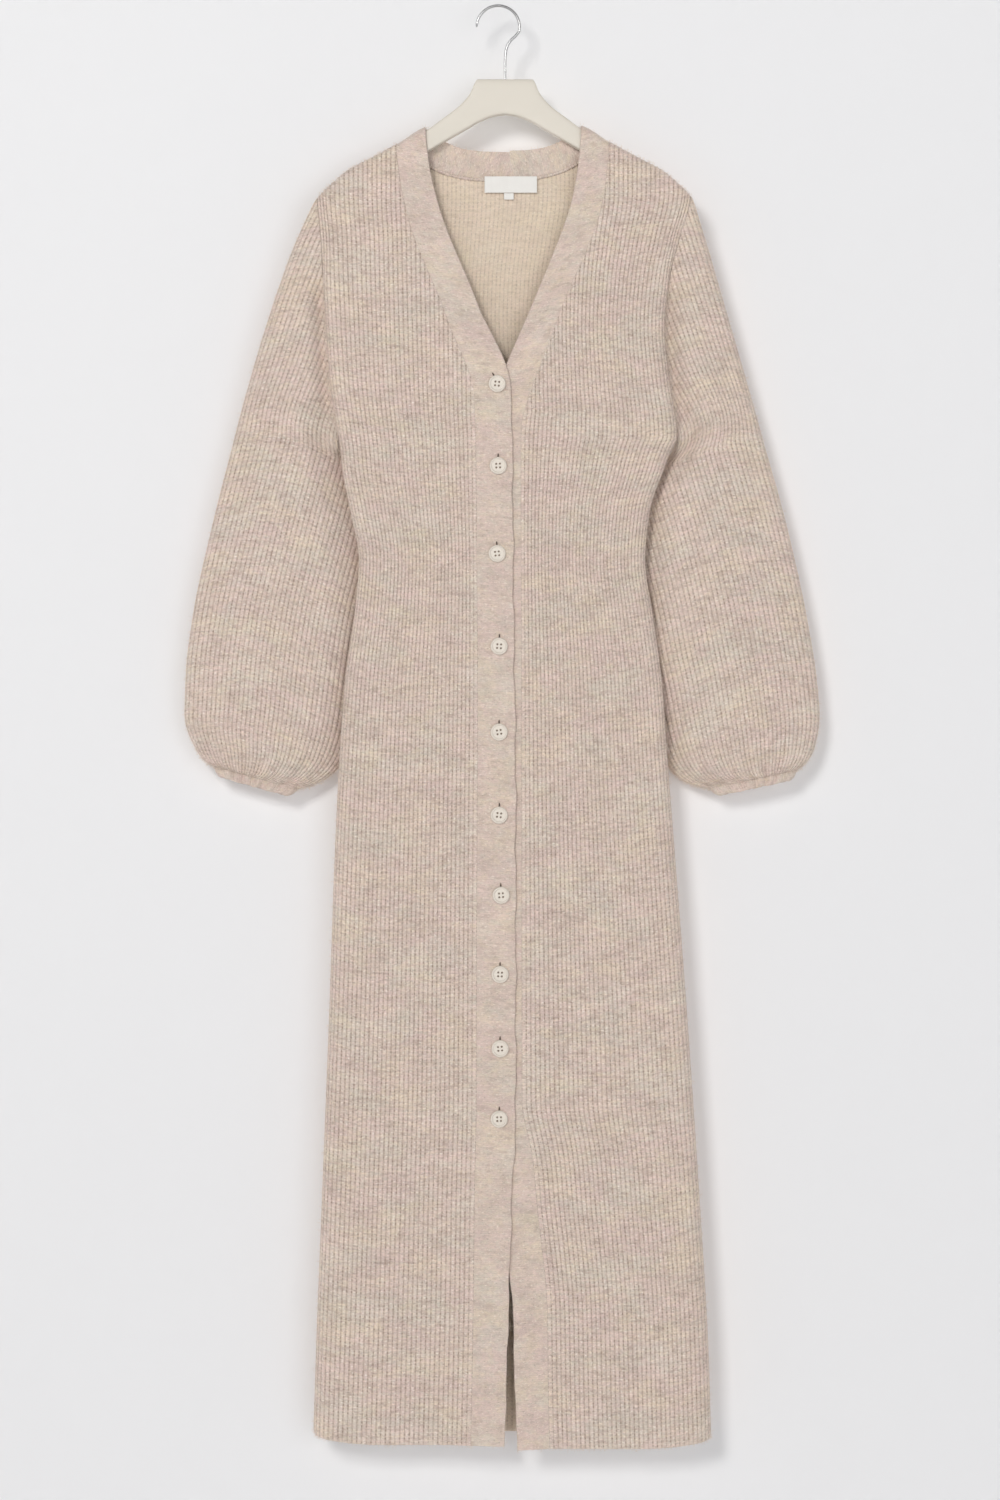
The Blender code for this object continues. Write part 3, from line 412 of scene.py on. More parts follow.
def squarish(angle, power):
    """The cosine and the sine of these angles, drawn towards a square by a power under 1."""
    return [np.sign(wave) * np.abs(wave) ** power for wave in (np.cos(angle), np.sin(angle))]


def half_depth(drop):
    return curve(BODY["drop"], BODY["half_depth"], drop)


def side(hand, drop):
    return curve(BODY["drop"], BODY[hand], drop)


def crest(across):
    """The drop of the shoulders' crest."""
    return curve(SHOULDER["from_middle"], SHOULDER["drop"], np.abs(across - HANGER_MIDDLE))


def crest_slope(across):
    step = 0.0005
    return (crest(across + step) - crest(across - step)) / (2 * step)


def crest_fold(across, drop):
    """0 on the shoulders' crest and 1 from one radius below it on, along a quarter circle."""
    near = np.clip((drop - crest(across)) / SHOULDER_RADIUS, 0, 1)
    return np.sqrt(1 - (1 - near) ** 2)


def band_lines(hand):
    """The band's free edge and its seam as dense arrays; the seam lies one width away, square to the edge."""
    edge = FREE_EDGE[hand]
    drop = np.linspace(edge["drop"][0], edge["drop"][-1], BAND_POINTS)
    across = curve(edge["drop"], edge["across"], drop)
    width = curve(edge["drop"], edge["width"], drop)
    slope = np.gradient(across, drop)
    outward = OUTWARD[hand]
    length = np.sqrt(1 + slope**2)
    return drop, across, drop - outward * width * slope / length, across + outward * width / length


BAND_LINES = {hand: band_lines(hand) for hand in FREE_EDGE}


def band_seam(hand, drop):
    """Where the band's seam lies at this drop."""
    _, _, seam_drop, seam_across = BAND_LINES[hand]
    return np.interp(drop, seam_drop, seam_across)


def neck_corner(hand):
    """(across, drop) of the point where the band's seam meets the shoulders' crest."""
    drop = settled(FREE_EDGE[hand]["drop"][0], lambda drop: crest(band_seam(hand, drop)))
    return float(band_seam(hand, drop)), drop


NECK_CORNER = {hand: neck_corner(hand) for hand in FREE_EDGE}


def back_neck(across):
    """The drop of the back neckband's seam."""
    (right, right_drop), (left, left_drop) = NECK_CORNER["right"], NECK_CORNER["left"]
    reach = np.where(across < 0, across / right, across / left)
    corner = np.where(across < 0, right_drop, left_drop)
    middle_drop = (right_drop + left_drop) / 2
    corner = middle_drop + (corner - middle_drop) * np.minimum(reach, 1)
    return corner + curve(BACK_NECK["reach"], BACK_NECK["seam"], np.minimum(reach, BACK_NECK_PAST))


def overlap_lift(across, drop):
    """How far the right front stands forward so that it clears the left band under it."""
    start, full = OVERLAP
    along = smooth_step((drop - start) / (full - start))
    return OVERLAP_LIFT * along * smooth_step((across - band_seam("right", drop) + LIFT_RUN) / LIFT_RUN)


def turn_in(face, drop):
    """0 where a panel runs flat to its side edge, and 1 where it turns in a quarter circle to y = 0."""
    start, end = SIDE_FOLD[face]
    share = np.clip((drop - start) / (end - start), 0, 1)
    return smooth_step(share) if face == "front" else 1 - np.sqrt(1 - share**2)


def hanging_wave(face, across, drop):
    """Soft waves of the hanging cloth, outwards: slanting sines that grow from the chest down.

    On the back they die out beside the sleeves that lie behind it.
    """
    deep = sizes().wave * smooth_step((drop - 0.22) / 0.5)
    waves = sum(share * np.sin(across / run + slant * drop + start) for run, slant, start, share in WAVES[face])
    wave = deep * waves * WAVE_SHARE[face]
    return wave * (1 - smooth_step((np.abs(across) - 0.08) / 0.05)) if face == "back" else wave


def wall_y(face, across, drop, fold=1.0):
    """The depth of a panel's outer face; fold is 0 on a side edge that turns in and 1 on the flat."""
    turned = turn_in(face, drop)
    folded = crest_fold(across, drop)
    depth = half_depth(drop) * folded * (1 - turned + turned * fold)
    depth = depth + hanging_wave(face, across, drop) * folded * fold
    return (SEAM_GAP / 2 + depth) * (-1 if face == "front" else 1)


def front_y(hand, across, drop, fold=1.0):
    """The front's outer face on one side: the right one is lifted where it lies on the left one."""
    y = wall_y("front", across, drop, fold)
    return y - overlap_lift(across, drop) if hand == "right" else y


def inward_of(radius, turned, arc):
    """How far in from the side a point lies at this arc length, and its fold: a quarter circle, then flat."""
    angle = np.clip(arc / radius, 0, np.pi / 2)
    round_part = radius * ((1 - turned) * angle * 2 / np.pi + turned * (1 - np.cos(angle)))
    return round_part + np.maximum(arc - radius * np.pi / 2, 0), np.sin(angle)


def front_column(hand, share, drop):
    """(across, fold, arc length from the side) of a front's column: share 0 is the side, 1 the band's seam."""
    edge = side(hand, drop)
    last = band_seam(hand, np.maximum(drop, V_BASE)) + OUTWARD[hand] * SEAM_GAP / 2
    length = np.abs(last - edge) + half_depth(drop) * (np.pi / 2 - 1)
    inward, fold = inward_of(half_depth(drop), turn_in("front", drop), share * length)
    return edge - OUTWARD[hand] * inward, fold, share * length


def back_column(_, share, drop):
    """(across, fold, arc length from the nearer side) of the back's column, from the right side to the left."""
    radius = half_depth(drop)
    right, left = side("right", drop), side("left", drop)
    length = left - right + radius * (np.pi - 2)
    turned = turn_in("back", drop)
    from_right, right_fold = inward_of(radius, turned, share * length)
    from_left, left_fold = inward_of(radius, turned, (1 - share) * length)
    across = np.where(share < 0.5, right + from_right, left - from_left)
    return across, np.minimum(right_fold, left_fold), np.minimum(share, 1 - share) * length


def first_drop(panel, share):
    """The least drop at which each column lies below the crest and outside the band's seam."""

    def clear(drop):
        if panel == "back":
            across, *_ = back_column(panel, share, drop)
            past_seam = drop - back_neck(across)
        else:
            across, *_ = front_column(panel, share, drop)
            past_seam = (across - band_seam(panel, drop)) * OUTWARD[panel]
        return (drop >= crest(across)) & (past_seam >= SEAM_GAP / 2 - 1e-9)

    return least(np.full(share.shape, SHOULDER["drop"][0]), np.full(share.shape, V_BASE), clear)


# ---------------------------------------------------------------- meshes from grids

WELD = 2e-6
SHARP_ANGLE = 55  # degrees


def quads_of(grid):
    """The four corners of every cell of a grid, row by row."""
    corners = np.stack([grid[:-1, :-1], grid[:-1, 1:], grid[1:, 1:], grid[1:, :-1]], axis=2)
    return corners.reshape(-1, 4, *grid.shape[2:])


def add_piece(name, points, faces, corner_uvs, material, weld=False, marks=None):
    """A mesh object at the origin, faces outwards, that rides on the part's one body.

    The points are moved from the table line to the seat. A closed mesh whose volume comes out negative is turned
    the other way round. Marks are one number a point, kept as the attribute "mark".
    """
    mesh = bpy.data.meshes.new(name)
    mesh.from_pydata((np.asarray(points) + (TABLE_LINE, 0, 0)).tolist(), [], faces)
    mesh.uv_layers.new(name="UVMap").data.foreach_set("uv", np.asarray(corner_uvs, np.float32).ravel())
    if marks is not None:
        mesh.attributes.new("mark", "FLOAT", "POINT").data.foreach_set("value", np.asarray(marks, np.float32).ravel())
    shape = bmesh.new()
    shape.from_mesh(mesh)
    if weld:
        bmesh.ops.remove_doubles(shape, verts=shape.verts, dist=WELD)
    if shape.calc_volume(signed=True) < 0:
        bmesh.ops.reverse_faces(shape, faces=shape.faces)
    shape.to_mesh(mesh)
    shape.free()
    mesh.shade_smooth()
    mesh.set_sharp_from_angle(angle=np.radians(SHARP_ANGLE))
    mesh.materials.append(material)
    obj = bpy.data.objects.new(name, mesh)
    bpy.context.scene.collection.objects.link(obj)
    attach(obj, "root")
    return obj


def cloth_wall(name, outer, inner, every, uv, material, tube=False):
    """A closed cloth wall between an outer grid and an inner grid of every so many of its columns.

    Rims close its first and last rows, and side faces its first and last columns. A tube has no side faces: its
    first and last columns lie on each other and are welded.
    """
    rows, columns = outer.shape[:2]
    outer_id = np.arange(rows * columns).reshape(rows, columns)
    inner_id = rows * columns + np.arange(rows * inner.shape[1]).reshape(rows, -1)
    inner_uv = uv[:, ::every]
    faces = quads_of(outer_id).tolist() + quads_of(inner_id)[:, ::-1].tolist()
    uvs = [quads_of(uv).reshape(-1, 2), quads_of(inner_uv)[:, ::-1].reshape(-1, 2)]
    run = np.arange(0, columns - 1, every)[:, None] + np.arange(every, -1, -1)
    for row, turn in ((0, 1), (-1, -1)):
        rim = np.concatenate([outer_id[row][run], inner_id[row, :-1, None], inner_id[row, 1:, None]], axis=1)
        rim_uv = np.concatenate([uv[row][run], inner_uv[row, :-1, None], inner_uv[row, 1:, None]], axis=1)
        faces += rim[:, ::turn].tolist()
        uvs.append(rim_uv[:, ::turn].reshape(-1, 2))
    for column, turn in () if tube else ((0, 1), (-1, -1)):
        o, i, ou, iu = outer_id[:, column], inner_id[:, column], uv[:, column], inner_uv[:, column]
        edge = np.stack([o[:-1], o[1:], i[1:], i[:-1]], axis=1)
        edge_uv = np.stack([ou[:-1], ou[1:], iu[1:], iu[:-1]], axis=1)
        faces += edge[:, ::turn].tolist()
        uvs.append(edge_uv[:, ::turn].reshape(-1, 2))
    points = np.concatenate([outer.reshape(-1, 3), inner.reshape(-1, 3)])
    inside = np.arange(len(points)) >= rows * columns
    return add_piece(name, points, faces, np.concatenate(uvs), material, weld=tube, marks=inside)


def closed_loft(name, rings, material, marks=None, uv_size=0.004):
    """A closed solid from rings of points carried along a path, with a flat end on its first and last ring."""
    count, around = rings.shape[:2]
    ids = np.arange(count * around).reshape(count, around)
    ids = np.concatenate([ids, ids[:, :1]], axis=1)
    grid = np.concatenate([rings, rings[:, :1]], axis=1)
    along, round_it = lengths_along(grid[:, 0]), lengths_along(grid[count // 2])
    uv = np.stack(np.broadcast_arrays(round_it[None], along[:, None]), axis=-1) / uv_size
    faces = quads_of(ids).tolist() + [ids[0, :-1][::-1].tolist(), ids[-1, :-1].tolist()]
    uvs = np.concatenate([quads_of(uv).reshape(-1, 2), uv[0, :-1][::-1], uv[-1, :-1]])
    return add_piece(name, rings.reshape(-1, 3), faces, uvs, material, marks=marks)


def grid_normals(grid):
    """The normals of a grid: the cross product of its differences along rows and columns."""
    return unit(np.cross(np.gradient(grid, axis=0), np.gradient(grid, axis=1)))


def edge_inset(distance, radius):
    """How far the wall's face draws in near a rounded edge: a quarter circle of that radius."""
    short = np.clip(radius - distance, 0, radius)
    return radius - np.sqrt(np.maximum(radius**2 - short**2, 0))


def rib_profile(phase):
    """1 on a rib and 0 in a valley, at whole numbers: a sine to the power 0.7, so that tops are wide."""
    return np.abs(np.sin(np.pi * phase)) ** 0.7


def lengths_along(path):
    """The arc length along a path of points, or down each column of a grid."""
    steps = np.linalg.norm(np.diff(path, axis=0), axis=-1)
    return np.concatenate([np.zeros_like(steps[:1]), np.cumsum(steps, axis=0)])


def rings_round(path, radius, first, second, sides):
    """Rings round a path: the first direction at angle 0 and the second a quarter turn on, one radius a point."""
    angle = angles(sides)[:, None]
    second = np.broadcast_to(second, path.shape)
    return path[:, None] + radius[:, None, None] * (np.cos(angle) * first[:, None] + np.sin(angle) * second[:, None])


# ---------------------------------------------------------------- shader sums


class Sum:
    """A shader value that Python's operators do Math nodes on."""

    def __init__(self, shader, socket):
        self.shader, self.socket = shader, socket

    def math(self, operation, *others):
        made = self.shader.node("ShaderNodeMath", {"operation": operation}, *others)
        return Sum(self.shader, made.outputs[0])

    def __add__(self, other):
        return self.math("ADD", self, other)

    def __radd__(self, other):
        return self.math("ADD", other, self)

    def __sub__(self, other):
        return self.math("SUBTRACT", self, other)

    def __rsub__(self, other):
        return self.math("SUBTRACT", other, self)

    def __mul__(self, other):
        return self.math("MULTIPLY", self, other)

    def __rmul__(self, other):
        return self.math("MULTIPLY", other, self)

    def __pow__(self, other):
        return self.math("POWER", self, other)

    def __abs__(self):
        return self.math("ABSOLUTE", self)

    def part(self):
        """What is left over a whole number."""
        return self.math("FRACT", self)

    def sine(self):
        return self.math("SINE", self)

    def between(self, low, high):
        """0 below low, 1 above high, and a smooth step between them."""
        made = self.shader.node("ShaderNodeMapRange", {"interpolation_type": "SMOOTHSTEP"}, self, low, high)
        return Sum(self.shader, made.outputs[0])


class Shader:
    """A material and its node tree."""

    def __init__(self, name):
        self.material = bpy.data.materials.new(name)
        self.material.use_nodes = True
        self.tree = self.material.node_tree
        self.surface = self.tree.nodes["Principled BSDF"]

    def put(self, socket, value):
        if isinstance(value, Sum):
            self.tree.links.new(value.socket, socket)
        elif isinstance(value, bpy.types.NodeSocket):
            self.tree.links.new(value, socket)
        else:
            wide = hasattr(socket.default_value, "__len__") and len(socket.default_value) == 4
            socket.default_value = (*value, 1) if wide and len(value) == 3 else value

    def node(self, kind, settings=None, *values, **named):
        """A node of that type, with its settings, then its sockets in order, then its sockets by name."""
        made = self.tree.nodes.new(kind)
        for key, value in (settings or {}).items():
            setattr(made, key, value)
        for socket, value in zip(made.inputs, values):
            self.put(socket, value)
        for key, value in named.items():
            self.put(made.inputs[key.replace("_", " ")], value)
        return made

    def uv(self):
        """The piece's own UV map, in ribs and stitches."""
        return self.node("ShaderNodeUVMap", {"uv_map": "UVMap"}).outputs[0]

    def mark(self):
        """The piece's own marks, from 0 to 1."""
        return Sum(self, self.node("ShaderNodeAttribute", {"attribute_name": "mark"}).outputs["Fac"])

    def place(self):
        """Object coordinates, in metres."""
        return self.node("ShaderNodeTexCoord").outputs["Object"]

    def split(self, vector):
        made = self.node("ShaderNodeSeparateXYZ", None, vector)
        return [Sum(self, made.outputs[k]) for k in range(3)]

    def join(self, x, y, z):
        return self.node("ShaderNodeCombineXYZ", None, x, y, z).outputs[0]

    def scaled(self, vector, by):
        return self.node("ShaderNodeVectorMath", {"operation": "MULTIPLY"}, vector, by).outputs[0]

    def noise(self, vector, scale, detail=2.0, roughness=0.5):
        made = self.node("ShaderNodeTexNoise", None, Vector=vector, Scale=scale, Detail=detail, Roughness=roughness)
        return Sum(self, made.outputs[0])

    def mix(self, share, first, second, blend="MIX"):
        made = self.node("ShaderNodeMix", {"data_type": "RGBA", "blend_type": blend})
        for socket, value in ((made.inputs[0], share), (made.inputs[6], first), (made.inputs[7], second)):
            self.put(socket, value)
        return made.outputs[2]

    def bump(self, height, distance, strength):
        return self.node("ShaderNodeBump", None, Strength=strength, Distance=distance, Height=height).outputs[0]

    def finish(self, **sockets):
        """Sets the surface's own sockets and returns the material."""
        for key, value in sockets.items():
            self.put(self.surface.inputs[key.replace("_", " ")], value)
        return self.material


HEATHER = (
    # scale across and along, start, low, top, share, colour: a tint lies where its noise is over a level
    (0.09, 0.12, 2.0, 0.42, 0.60, 0.70, "pink"),
    (0.07, 0.10, 17.0, 0.46, 0.62, 0.45, "grey"),
    (0.08, 0.12, 29.0, 0.50, 0.64, 0.42, "straw"),
    (0.40, 0.75, 0.0, 0.50, 0.60, 0.45, "pink"),
    (0.36, 0.70, 11.0, 0.53, 0.62, 0.32, "straw"),
    (0.42, 0.80, 23.0, 0.53, 0.62, 0.32, "grey"),
)
# the place of its noise, as above, and then its share and its colour
BROWN_FLECK = (0.34, 0.80, 37.0, 0.52, 0.64), 0.60
PALE_FIBRE = (1.4, 2.6, 31.0, 0.59, 0.67, 2.0), 0.65, (0.95, 0.88, 0.80)
DARK_FIBRE = (1.3, 2.4, 43.0, 0.61, 0.69, 2.0), 0.60, (0.30, 0.22, 0.17)
UNEVEN = (
    # scale across and along, start, detail, roughness, depth, calmed: what makes the yarn lighter and darker
    (0.12, 0.20, 71.0, 2.0, 0.6, 0.42, False),
    (0.60, 1.30, 51.0, 3.0, 0.7, 0.62, True),
    (1.5, 2.6, 3.0, 3.0, 0.8, 0.95, True),
)
YARN_LEVEL = 1.04
PLAIN_CONTRAST = 0.70
TURN = 6.2832  # a full turn, for the shader's sines
WOOL = {"Roughness": 0.95, "Sheen_Weight": 0.35, "Sheen_Roughness": 0.55, "Specular_IOR_Level": 0.15}
WOOL_BUMP = 0.70
SECOND = {  # the second colour of each finish
    # painted light: the inside's lighter, more yellow colour stands in for light falling in at the neck
    "inside": (0.760, 0.640, 0.470),
    "fibre": (0.74, 0.64, 0.55),
    "button": (0.62, 0.54, 0.45),
    "strand": (0.52, 0.42, 0.35),
    # painted shade: the near-black inside the buttonholes' slit
    "slit": (0.075, 0.055, 0.045),
    "label": (0.80, 0.78, 0.74),
    "hanger": (0.70, 0.63, 0.53),
    "wall": (0.80, 0.80, 0.82),
}


def heather(shader, across, along, contrast=1.0):
    """The heather yarn's colour: tints in blotches and streaks, an uneven level, then pale and dark fibres.

    across and along run in ribs and stitches, about 4.5 mm each. A contrast under 1 is for smoother, calmer cloth.
    """

    def flecks(wide, high, start, low, top, detail=3.0):
        return shader.noise(shader.join(across * wide, along * high, start), 1.0, detail, 0.6).between(low, top)

    colour = colour_of("yarn")
    for *place, share, tint in HEATHER:
        colour = shader.mix(flecks(*place) * share, colour, colour_of(tint))
    place, share = BROWN_FLECK
    colour = shader.mix(flecks(*place) * (share * contrast), colour, colour_of("brown"))
    level = YARN_LEVEL
    for wide, high, start, detail, roughness, depth, calmed in UNEVEN:
        noise = shader.noise(shader.join(across * wide, along * high, start), 1.0, detail, roughness)
        level = level + (depth * contrast if calmed else depth) * (noise - 0.5)
    colour = shader.mix(1.0, colour, shader.join(level, level, level), "MULTIPLY")
    for place, share, fibre in (PALE_FIBRE, DARK_FIBRE):
        colour = shader.mix(flecks(*place) * (share * contrast), colour, fibre)
    return colour


def fluff(shader, across, along):
    """The brushed yarn's fine, uneven height."""
    return shader.noise(shader.join(across * 2.2, along * 4.0, 1.0), 1.0, 4.0, 0.7)


def rib_knit():
    """The ribbed cloth: heather yarn, painted shade in the valleys, darker at each stitch, and slanting stitches.

    The inside of the cloth, where the piece's mark is 1, is painted lighter and more yellow: painted light.
    """
    shader = Shader("rib knit")
    across, along, _ = shader.split(shader.uv())
    inside = shader.mark()
    # painted light: the inside of the cloth is painted lighter and more yellow
    colour = shader.mix(inside * 0.50, heather(shader, across, along), SECOND["inside"])
    from_valley = 2.0 * abs((across + 0.5).part() - 0.5)
    valley = 1.0 - from_valley.between(0.0, 0.52)
    shade_dots = (along * TURN).sine() * 0.5 + 0.5
    patchy = shader.noise(shader.join(across * 0.5, along * 0.5, 5.0), 1.0, 3.0, 0.6).between(0.38, 0.62)
    # painted shade: darkens each valley, deeper at each stitch, and less on the inside of the cloth
    depth = valley * (0.28 + 0.72 * shade_dots * patchy) * (1.0 - inside * 0.45)
    colour = shader.mix(depth, colour, colour_of("shade"))
    slant = (along + from_valley * 0.45).part()
    stitch = 1.0 - abs(slant * 2.0 - 1.0) ** 2.0
    height = stitch * 0.40 + from_valley.between(0.0, 0.6) * 0.3 + fluff(shader, across, along) * 1.1
    return shader.finish(Base_Color=colour, Normal=shader.bump(height, 0.00055, WOOL_BUMP), **WOOL)


def plain_knit():
    """The smooth bands and cuffs: the same heather yarn in fine courses that run across the band, with painted shade.
    """
    shader = Shader("plain knit")
    across, along, _ = shader.split(shader.uv())
    colour = heather(shader, across, along, PLAIN_CONTRAST)
    course = (along * 2.0 + 0.12 * (across * TURN).sine()).part()
    stitch = 1.0 - abs(course * 2.0 - 1.0) ** 2.0
    wale = 1.0 - abs((across * 1.6).part() * 2.0 - 1.0) ** 2.0
    # painted shade: a little all over the band and more between the courses
    colour = shader.mix(0.07 + (1.0 - stitch) * 0.10, colour, colour_of("shade"))
    height = stitch * 0.22 + wale * 0.18 + fluff(shader, across, along) * 0.9
    return shader.finish(Base_Color=colour, Normal=shader.bump(height, 0.00050, WOOL_BUMP), **WOOL)


def loose_fibre():
    """The loose fibres: pale yarn."""
    shader = Shader("loose fibre")
    level = 0.85 + 0.3 * shader.noise(shader.place(), 300.0, 1.0)
    colour = shader.mix(1.0, SECOND["fibre"], shader.join(level, level, level), "MULTIPLY")
    return shader.finish(Base_Color=colour, Roughness=0.9, Sheen_Weight=0.3)


def button_resin():
    """Cast resin with faint cloudy grain, darker in the four holes: partly the thread and partly painted shade."""
    shader = Shader("button resin")
    cloud = shader.noise(shader.scaled(shader.place(), (160.0, 160.0, 420.0)), 1.0, 3.0, 0.6)
    colour = shader.mix(cloud * 0.35, colour_of("button"), SECOND["button"])
    hole = shader.mark()
    # partly the thread and partly painted shade in the four holes
    colour = shader.mix(hole, colour, colour_of("thread"))
    rough = 0.34 + cloud * 0.12 + hole * 0.4
    normal = shader.bump(cloud, 0.00005, 0.4)
    return shader.finish(Base_Color=colour, Roughness=rough, Normal=normal, Coat_Weight=0.15, Coat_Roughness=0.2)


def worked_thread():
    """The buttonholes' thread: fine strands, with painted shade inside the slit."""
    shader = Shader("buttonhole thread")
    _, along, _ = shader.split(shader.uv())
    strand = (along * 5.0).part()
    colour = shader.mix(shader.mark(), SECOND["strand"], SECOND["slit"])
    normal = shader.bump(abs(strand - 0.5), 0.0002, 0.6)
    return shader.finish(Base_Color=colour, Roughness=0.9, Normal=normal)


def woven_label():
    """White taffeta: fine warp and weft threads and a slight unevenness, with nothing woven in."""
    shader = Shader("woven label")
    x, _, z = shader.split(shader.place())
    weave = (x * 9000.0).sine() * (z * 9000.0).sine()
    uneven = shader.noise(shader.scaled(shader.place(), (250.0, 250.0, 900.0)), 1.0, 2.0)
    colour = shader.mix(uneven * 0.35, colour_of("label"), SECOND["label"])
    normal = shader.bump(weave * 0.5 + uneven, 0.00008, 0.5)
    return shader.finish(Base_Color=colour, Roughness=0.75, Normal=normal, Sheen_Weight=0.1)


def hanger_lacquer():
    """Pale satin lacquer with the faintest grain along the arms and a little wear in its gloss."""
    shader = Shader("hanger lacquer")
    grain = shader.noise(shader.scaled(shader.place(), (18.0, 60.0, 260.0)), 1.0, 4.0, 0.6)
    cloud = shader.noise(shader.place(), 25.0, 2.0)
    colour = shader.mix(grain * 0.22, colour_of("hanger"), SECOND["hanger"])
    rough = 0.42 + grain * 0.12 + cloud * 0.08
    normal = shader.bump(grain, 0.00006, 0.35)
    return shader.finish(Base_Color=colour, Roughness=rough, Normal=normal, Coat_Weight=0.08, Coat_Roughness=0.35)


def steel_wire():
    """Plain drawn steel: fine lines along the wire in its roughness."""
    shader = Shader("steel wire")
    drawn = shader.noise(shader.scaled(shader.place(), (900.0, 900.0, 120.0)), 1.0, 3.0, 0.6)
    rough = 0.20 + drawn * 0.16
    normal = shader.bump(drawn, 0.00002, 0.3)
    return shader.finish(Base_Color=colour_of("wire"), Metallic=1.0, Roughness=rough, Normal=normal)


def studio_wall():
    """Matte pale paint on one side only: seen from behind it is clear, so that it never hides the back.

    It takes shadows and casts none, so that the lights behind it reach the back too.
    """
    shader = Shader("studio wall")
    tone = shader.noise(shader.place(), 0.8, 2.0)
    colour = shader.mix(tone * 0.06, colour_of("wall"), SECOND["wall"])
    shader.finish(Base_Color=colour, Roughness=0.95, Specular_IOR_Level=0.1)
    behind = Sum(shader, shader.node("ShaderNodeNewGeometry").outputs["Backfacing"])
    behind = behind.math("MAXIMUM", behind, shader.node("ShaderNodeLightPath").outputs["Is Shadow Ray"])
    clear = shader.node("ShaderNodeBsdfTransparent").outputs[0]
    mixed = shader.node("ShaderNodeMixShader", None, behind, shader.surface.outputs[0], clear)
    shader.tree.links.new(mixed.outputs[0], shader.tree.nodes["Material Output"].inputs["Surface"])
    return shader.material


FINISHES = {}


def finish(make):
    """Each finish's one material, made when it is first asked for."""
    if make not in FINISHES:
        FINISHES[make] = make()
    return FINISHES[make]


# ---------------------------------------------------------------- the panels

PANEL_ROWS = {"right": (8, 60, 130), "left": (8, 60, 130), "back": (8, 38, 72)}  # in the fold, the yoke and the skirt
COLUMNS_PER_RIB = {"right": 8, "left": 8, "back": 6}
INNER_EVERY = {"right": 8, "left": 8, "back": 3}
SEAM_FADE = 0.0035  # the ribs rise from nothing over this distance from a panel's edges
BAND_FADE = 0.0070  # and over this one from a band
HEM_FADE = {"start": 0.0015, "run": 0.004}  # above the hem
BAND_UNEVEN = 0.0012  # how far the line beside a band wanders
BACK_INSIDE_RIB = 0.0005  # the back's ribs also show inside the neck
SHEETS = "front_right front_left back sleeve_right sleeve_left cuff_right cuff_left band_right band_left".split()
UV_START = {name: 400.0 * place for place, name in enumerate(SHEETS)}  # so that no two pieces show the same heather


def hem_drop(panel, arc):
    """The drop of the hem: it rises towards the side seams, with the square of the nearness to them."""
    return HEM[panel] - HEM_LIFT["rise"] * np.clip(1 - arc / HEM_LIFT["run"], 0, 1) ** 2


def knit_panel(panel):
    """A ribbed panel from its shoulder and neckline to its hem.

    The columns are even shares of the arc length round the body, a fixed number to a rib. The rows go down a
    quarter circle over the shoulder's crest, evenly to the underarm, and evenly to the hem, whose last rows are
    close together. The ribs are raised along the normals, fade out at the edges, and the hem's edge is rounded.
    """
    name, column = ("back", back_column) if panel == "back" else (f"front_{panel}", front_column)
    ribs, per_rib, every = RIBS[panel], COLUMNS_PER_RIB[panel], INNER_EVERY[panel]
    shares = np.linspace(0, 1, ribs * per_rib + 1)
    top = first_drop(panel, shares)
    fold_rows, yoke_rows, skirt_rows = PANEL_ROWS[panel]
    turn = np.linspace(0, np.pi / 2, fold_rows)[:, None]
    fold_end = top + SHOULDER_RADIUS
    yoke = np.linspace(0, 1, yoke_rows)[1:, None]
    skirt = np.linspace(0, 1, skirt_rows)[1:, None]
    _, _, arc = column(panel, shares, np.full(shares.shape, HEM[panel]))
    hem = hem_drop(panel, arc)
    drops = np.concatenate(
        [
            top + SHOULDER_RADIUS * (1 - np.cos(turn)),
            fold_end + yoke * (UNDERARM - fold_end),
            UNDERARM + skirt * (hem - 2 * HEM_ROWS[0] - UNDERARM),
            hem - np.array(HEM_ROWS)[:, None],
        ]
    )
    shares = np.broadcast_to(shares, drops.shape)
    across, fold, arc = column(panel, shares, drops)
    y = wall_y("back", across, drops, fold) if panel == "back" else front_y(panel, across, drops, fold)
    plain = np.stack([across, y, -drops], axis=-1)
    normals = grid_normals(plain) * (1 if panel == "right" else -1)
    down = lengths_along(plain)
    from_hem = down[-1] - down
    phase = shares * ribs
    from_band = np.inf if panel == "back" else (1 - shares) * arc[:, -1:]
    fade = smooth_step(np.minimum(down, arc) / SEAM_FADE)
    fade = fade * smooth_step((from_hem - HEM_FADE["start"]) / HEM_FADE["run"])
    uneven = BAND_UNEVEN * (np.sin(down * 310) + np.sin(down * 127 + 2))
    fade = fade * smooth_step((from_band + uneven - HEM_FADE["start"]) / BAND_FADE)
    edge = edge_inset(from_hem, sizes().wall / 2)
    raised = sizes().rib_height * rib_profile(phase) * fade - edge
    outer = plain + normals * raised[..., None]
    sunk = sizes().wall - edge + BACK_INSIDE_RIB * rib_profile(phase) * fade * (panel == "back")
    inner = (plain - normals * sunk[..., None])[:, ::every]
    uv = np.stack([phase + UV_START[name], -from_hem / sizes().stitch], axis=-1)
    piece = cloth_wall(f"{name}_knit", outer, inner, every, uv, finish(rib_knit))
    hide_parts(name)


class DRESS_OT_fronts(bpy.types.Operator):
    """Knit the two front panels"""

    bl_idname = "dress.fronts"
    bl_label = "Front panels"

    def execute(self, context):
        for hand in OUTWARD:
            knit_panel(hand)
        return {"FINISHED"}


class DRESS_OT_back(bpy.types.Operator):
    """Knit the back panel"""

    bl_idname = "dress.back"
    bl_label = "Back panel"

    def execute(self, context):
        knit_panel("back")
        return {"FINISHED"}


# ---------------------------------------------------------------- the sleeves

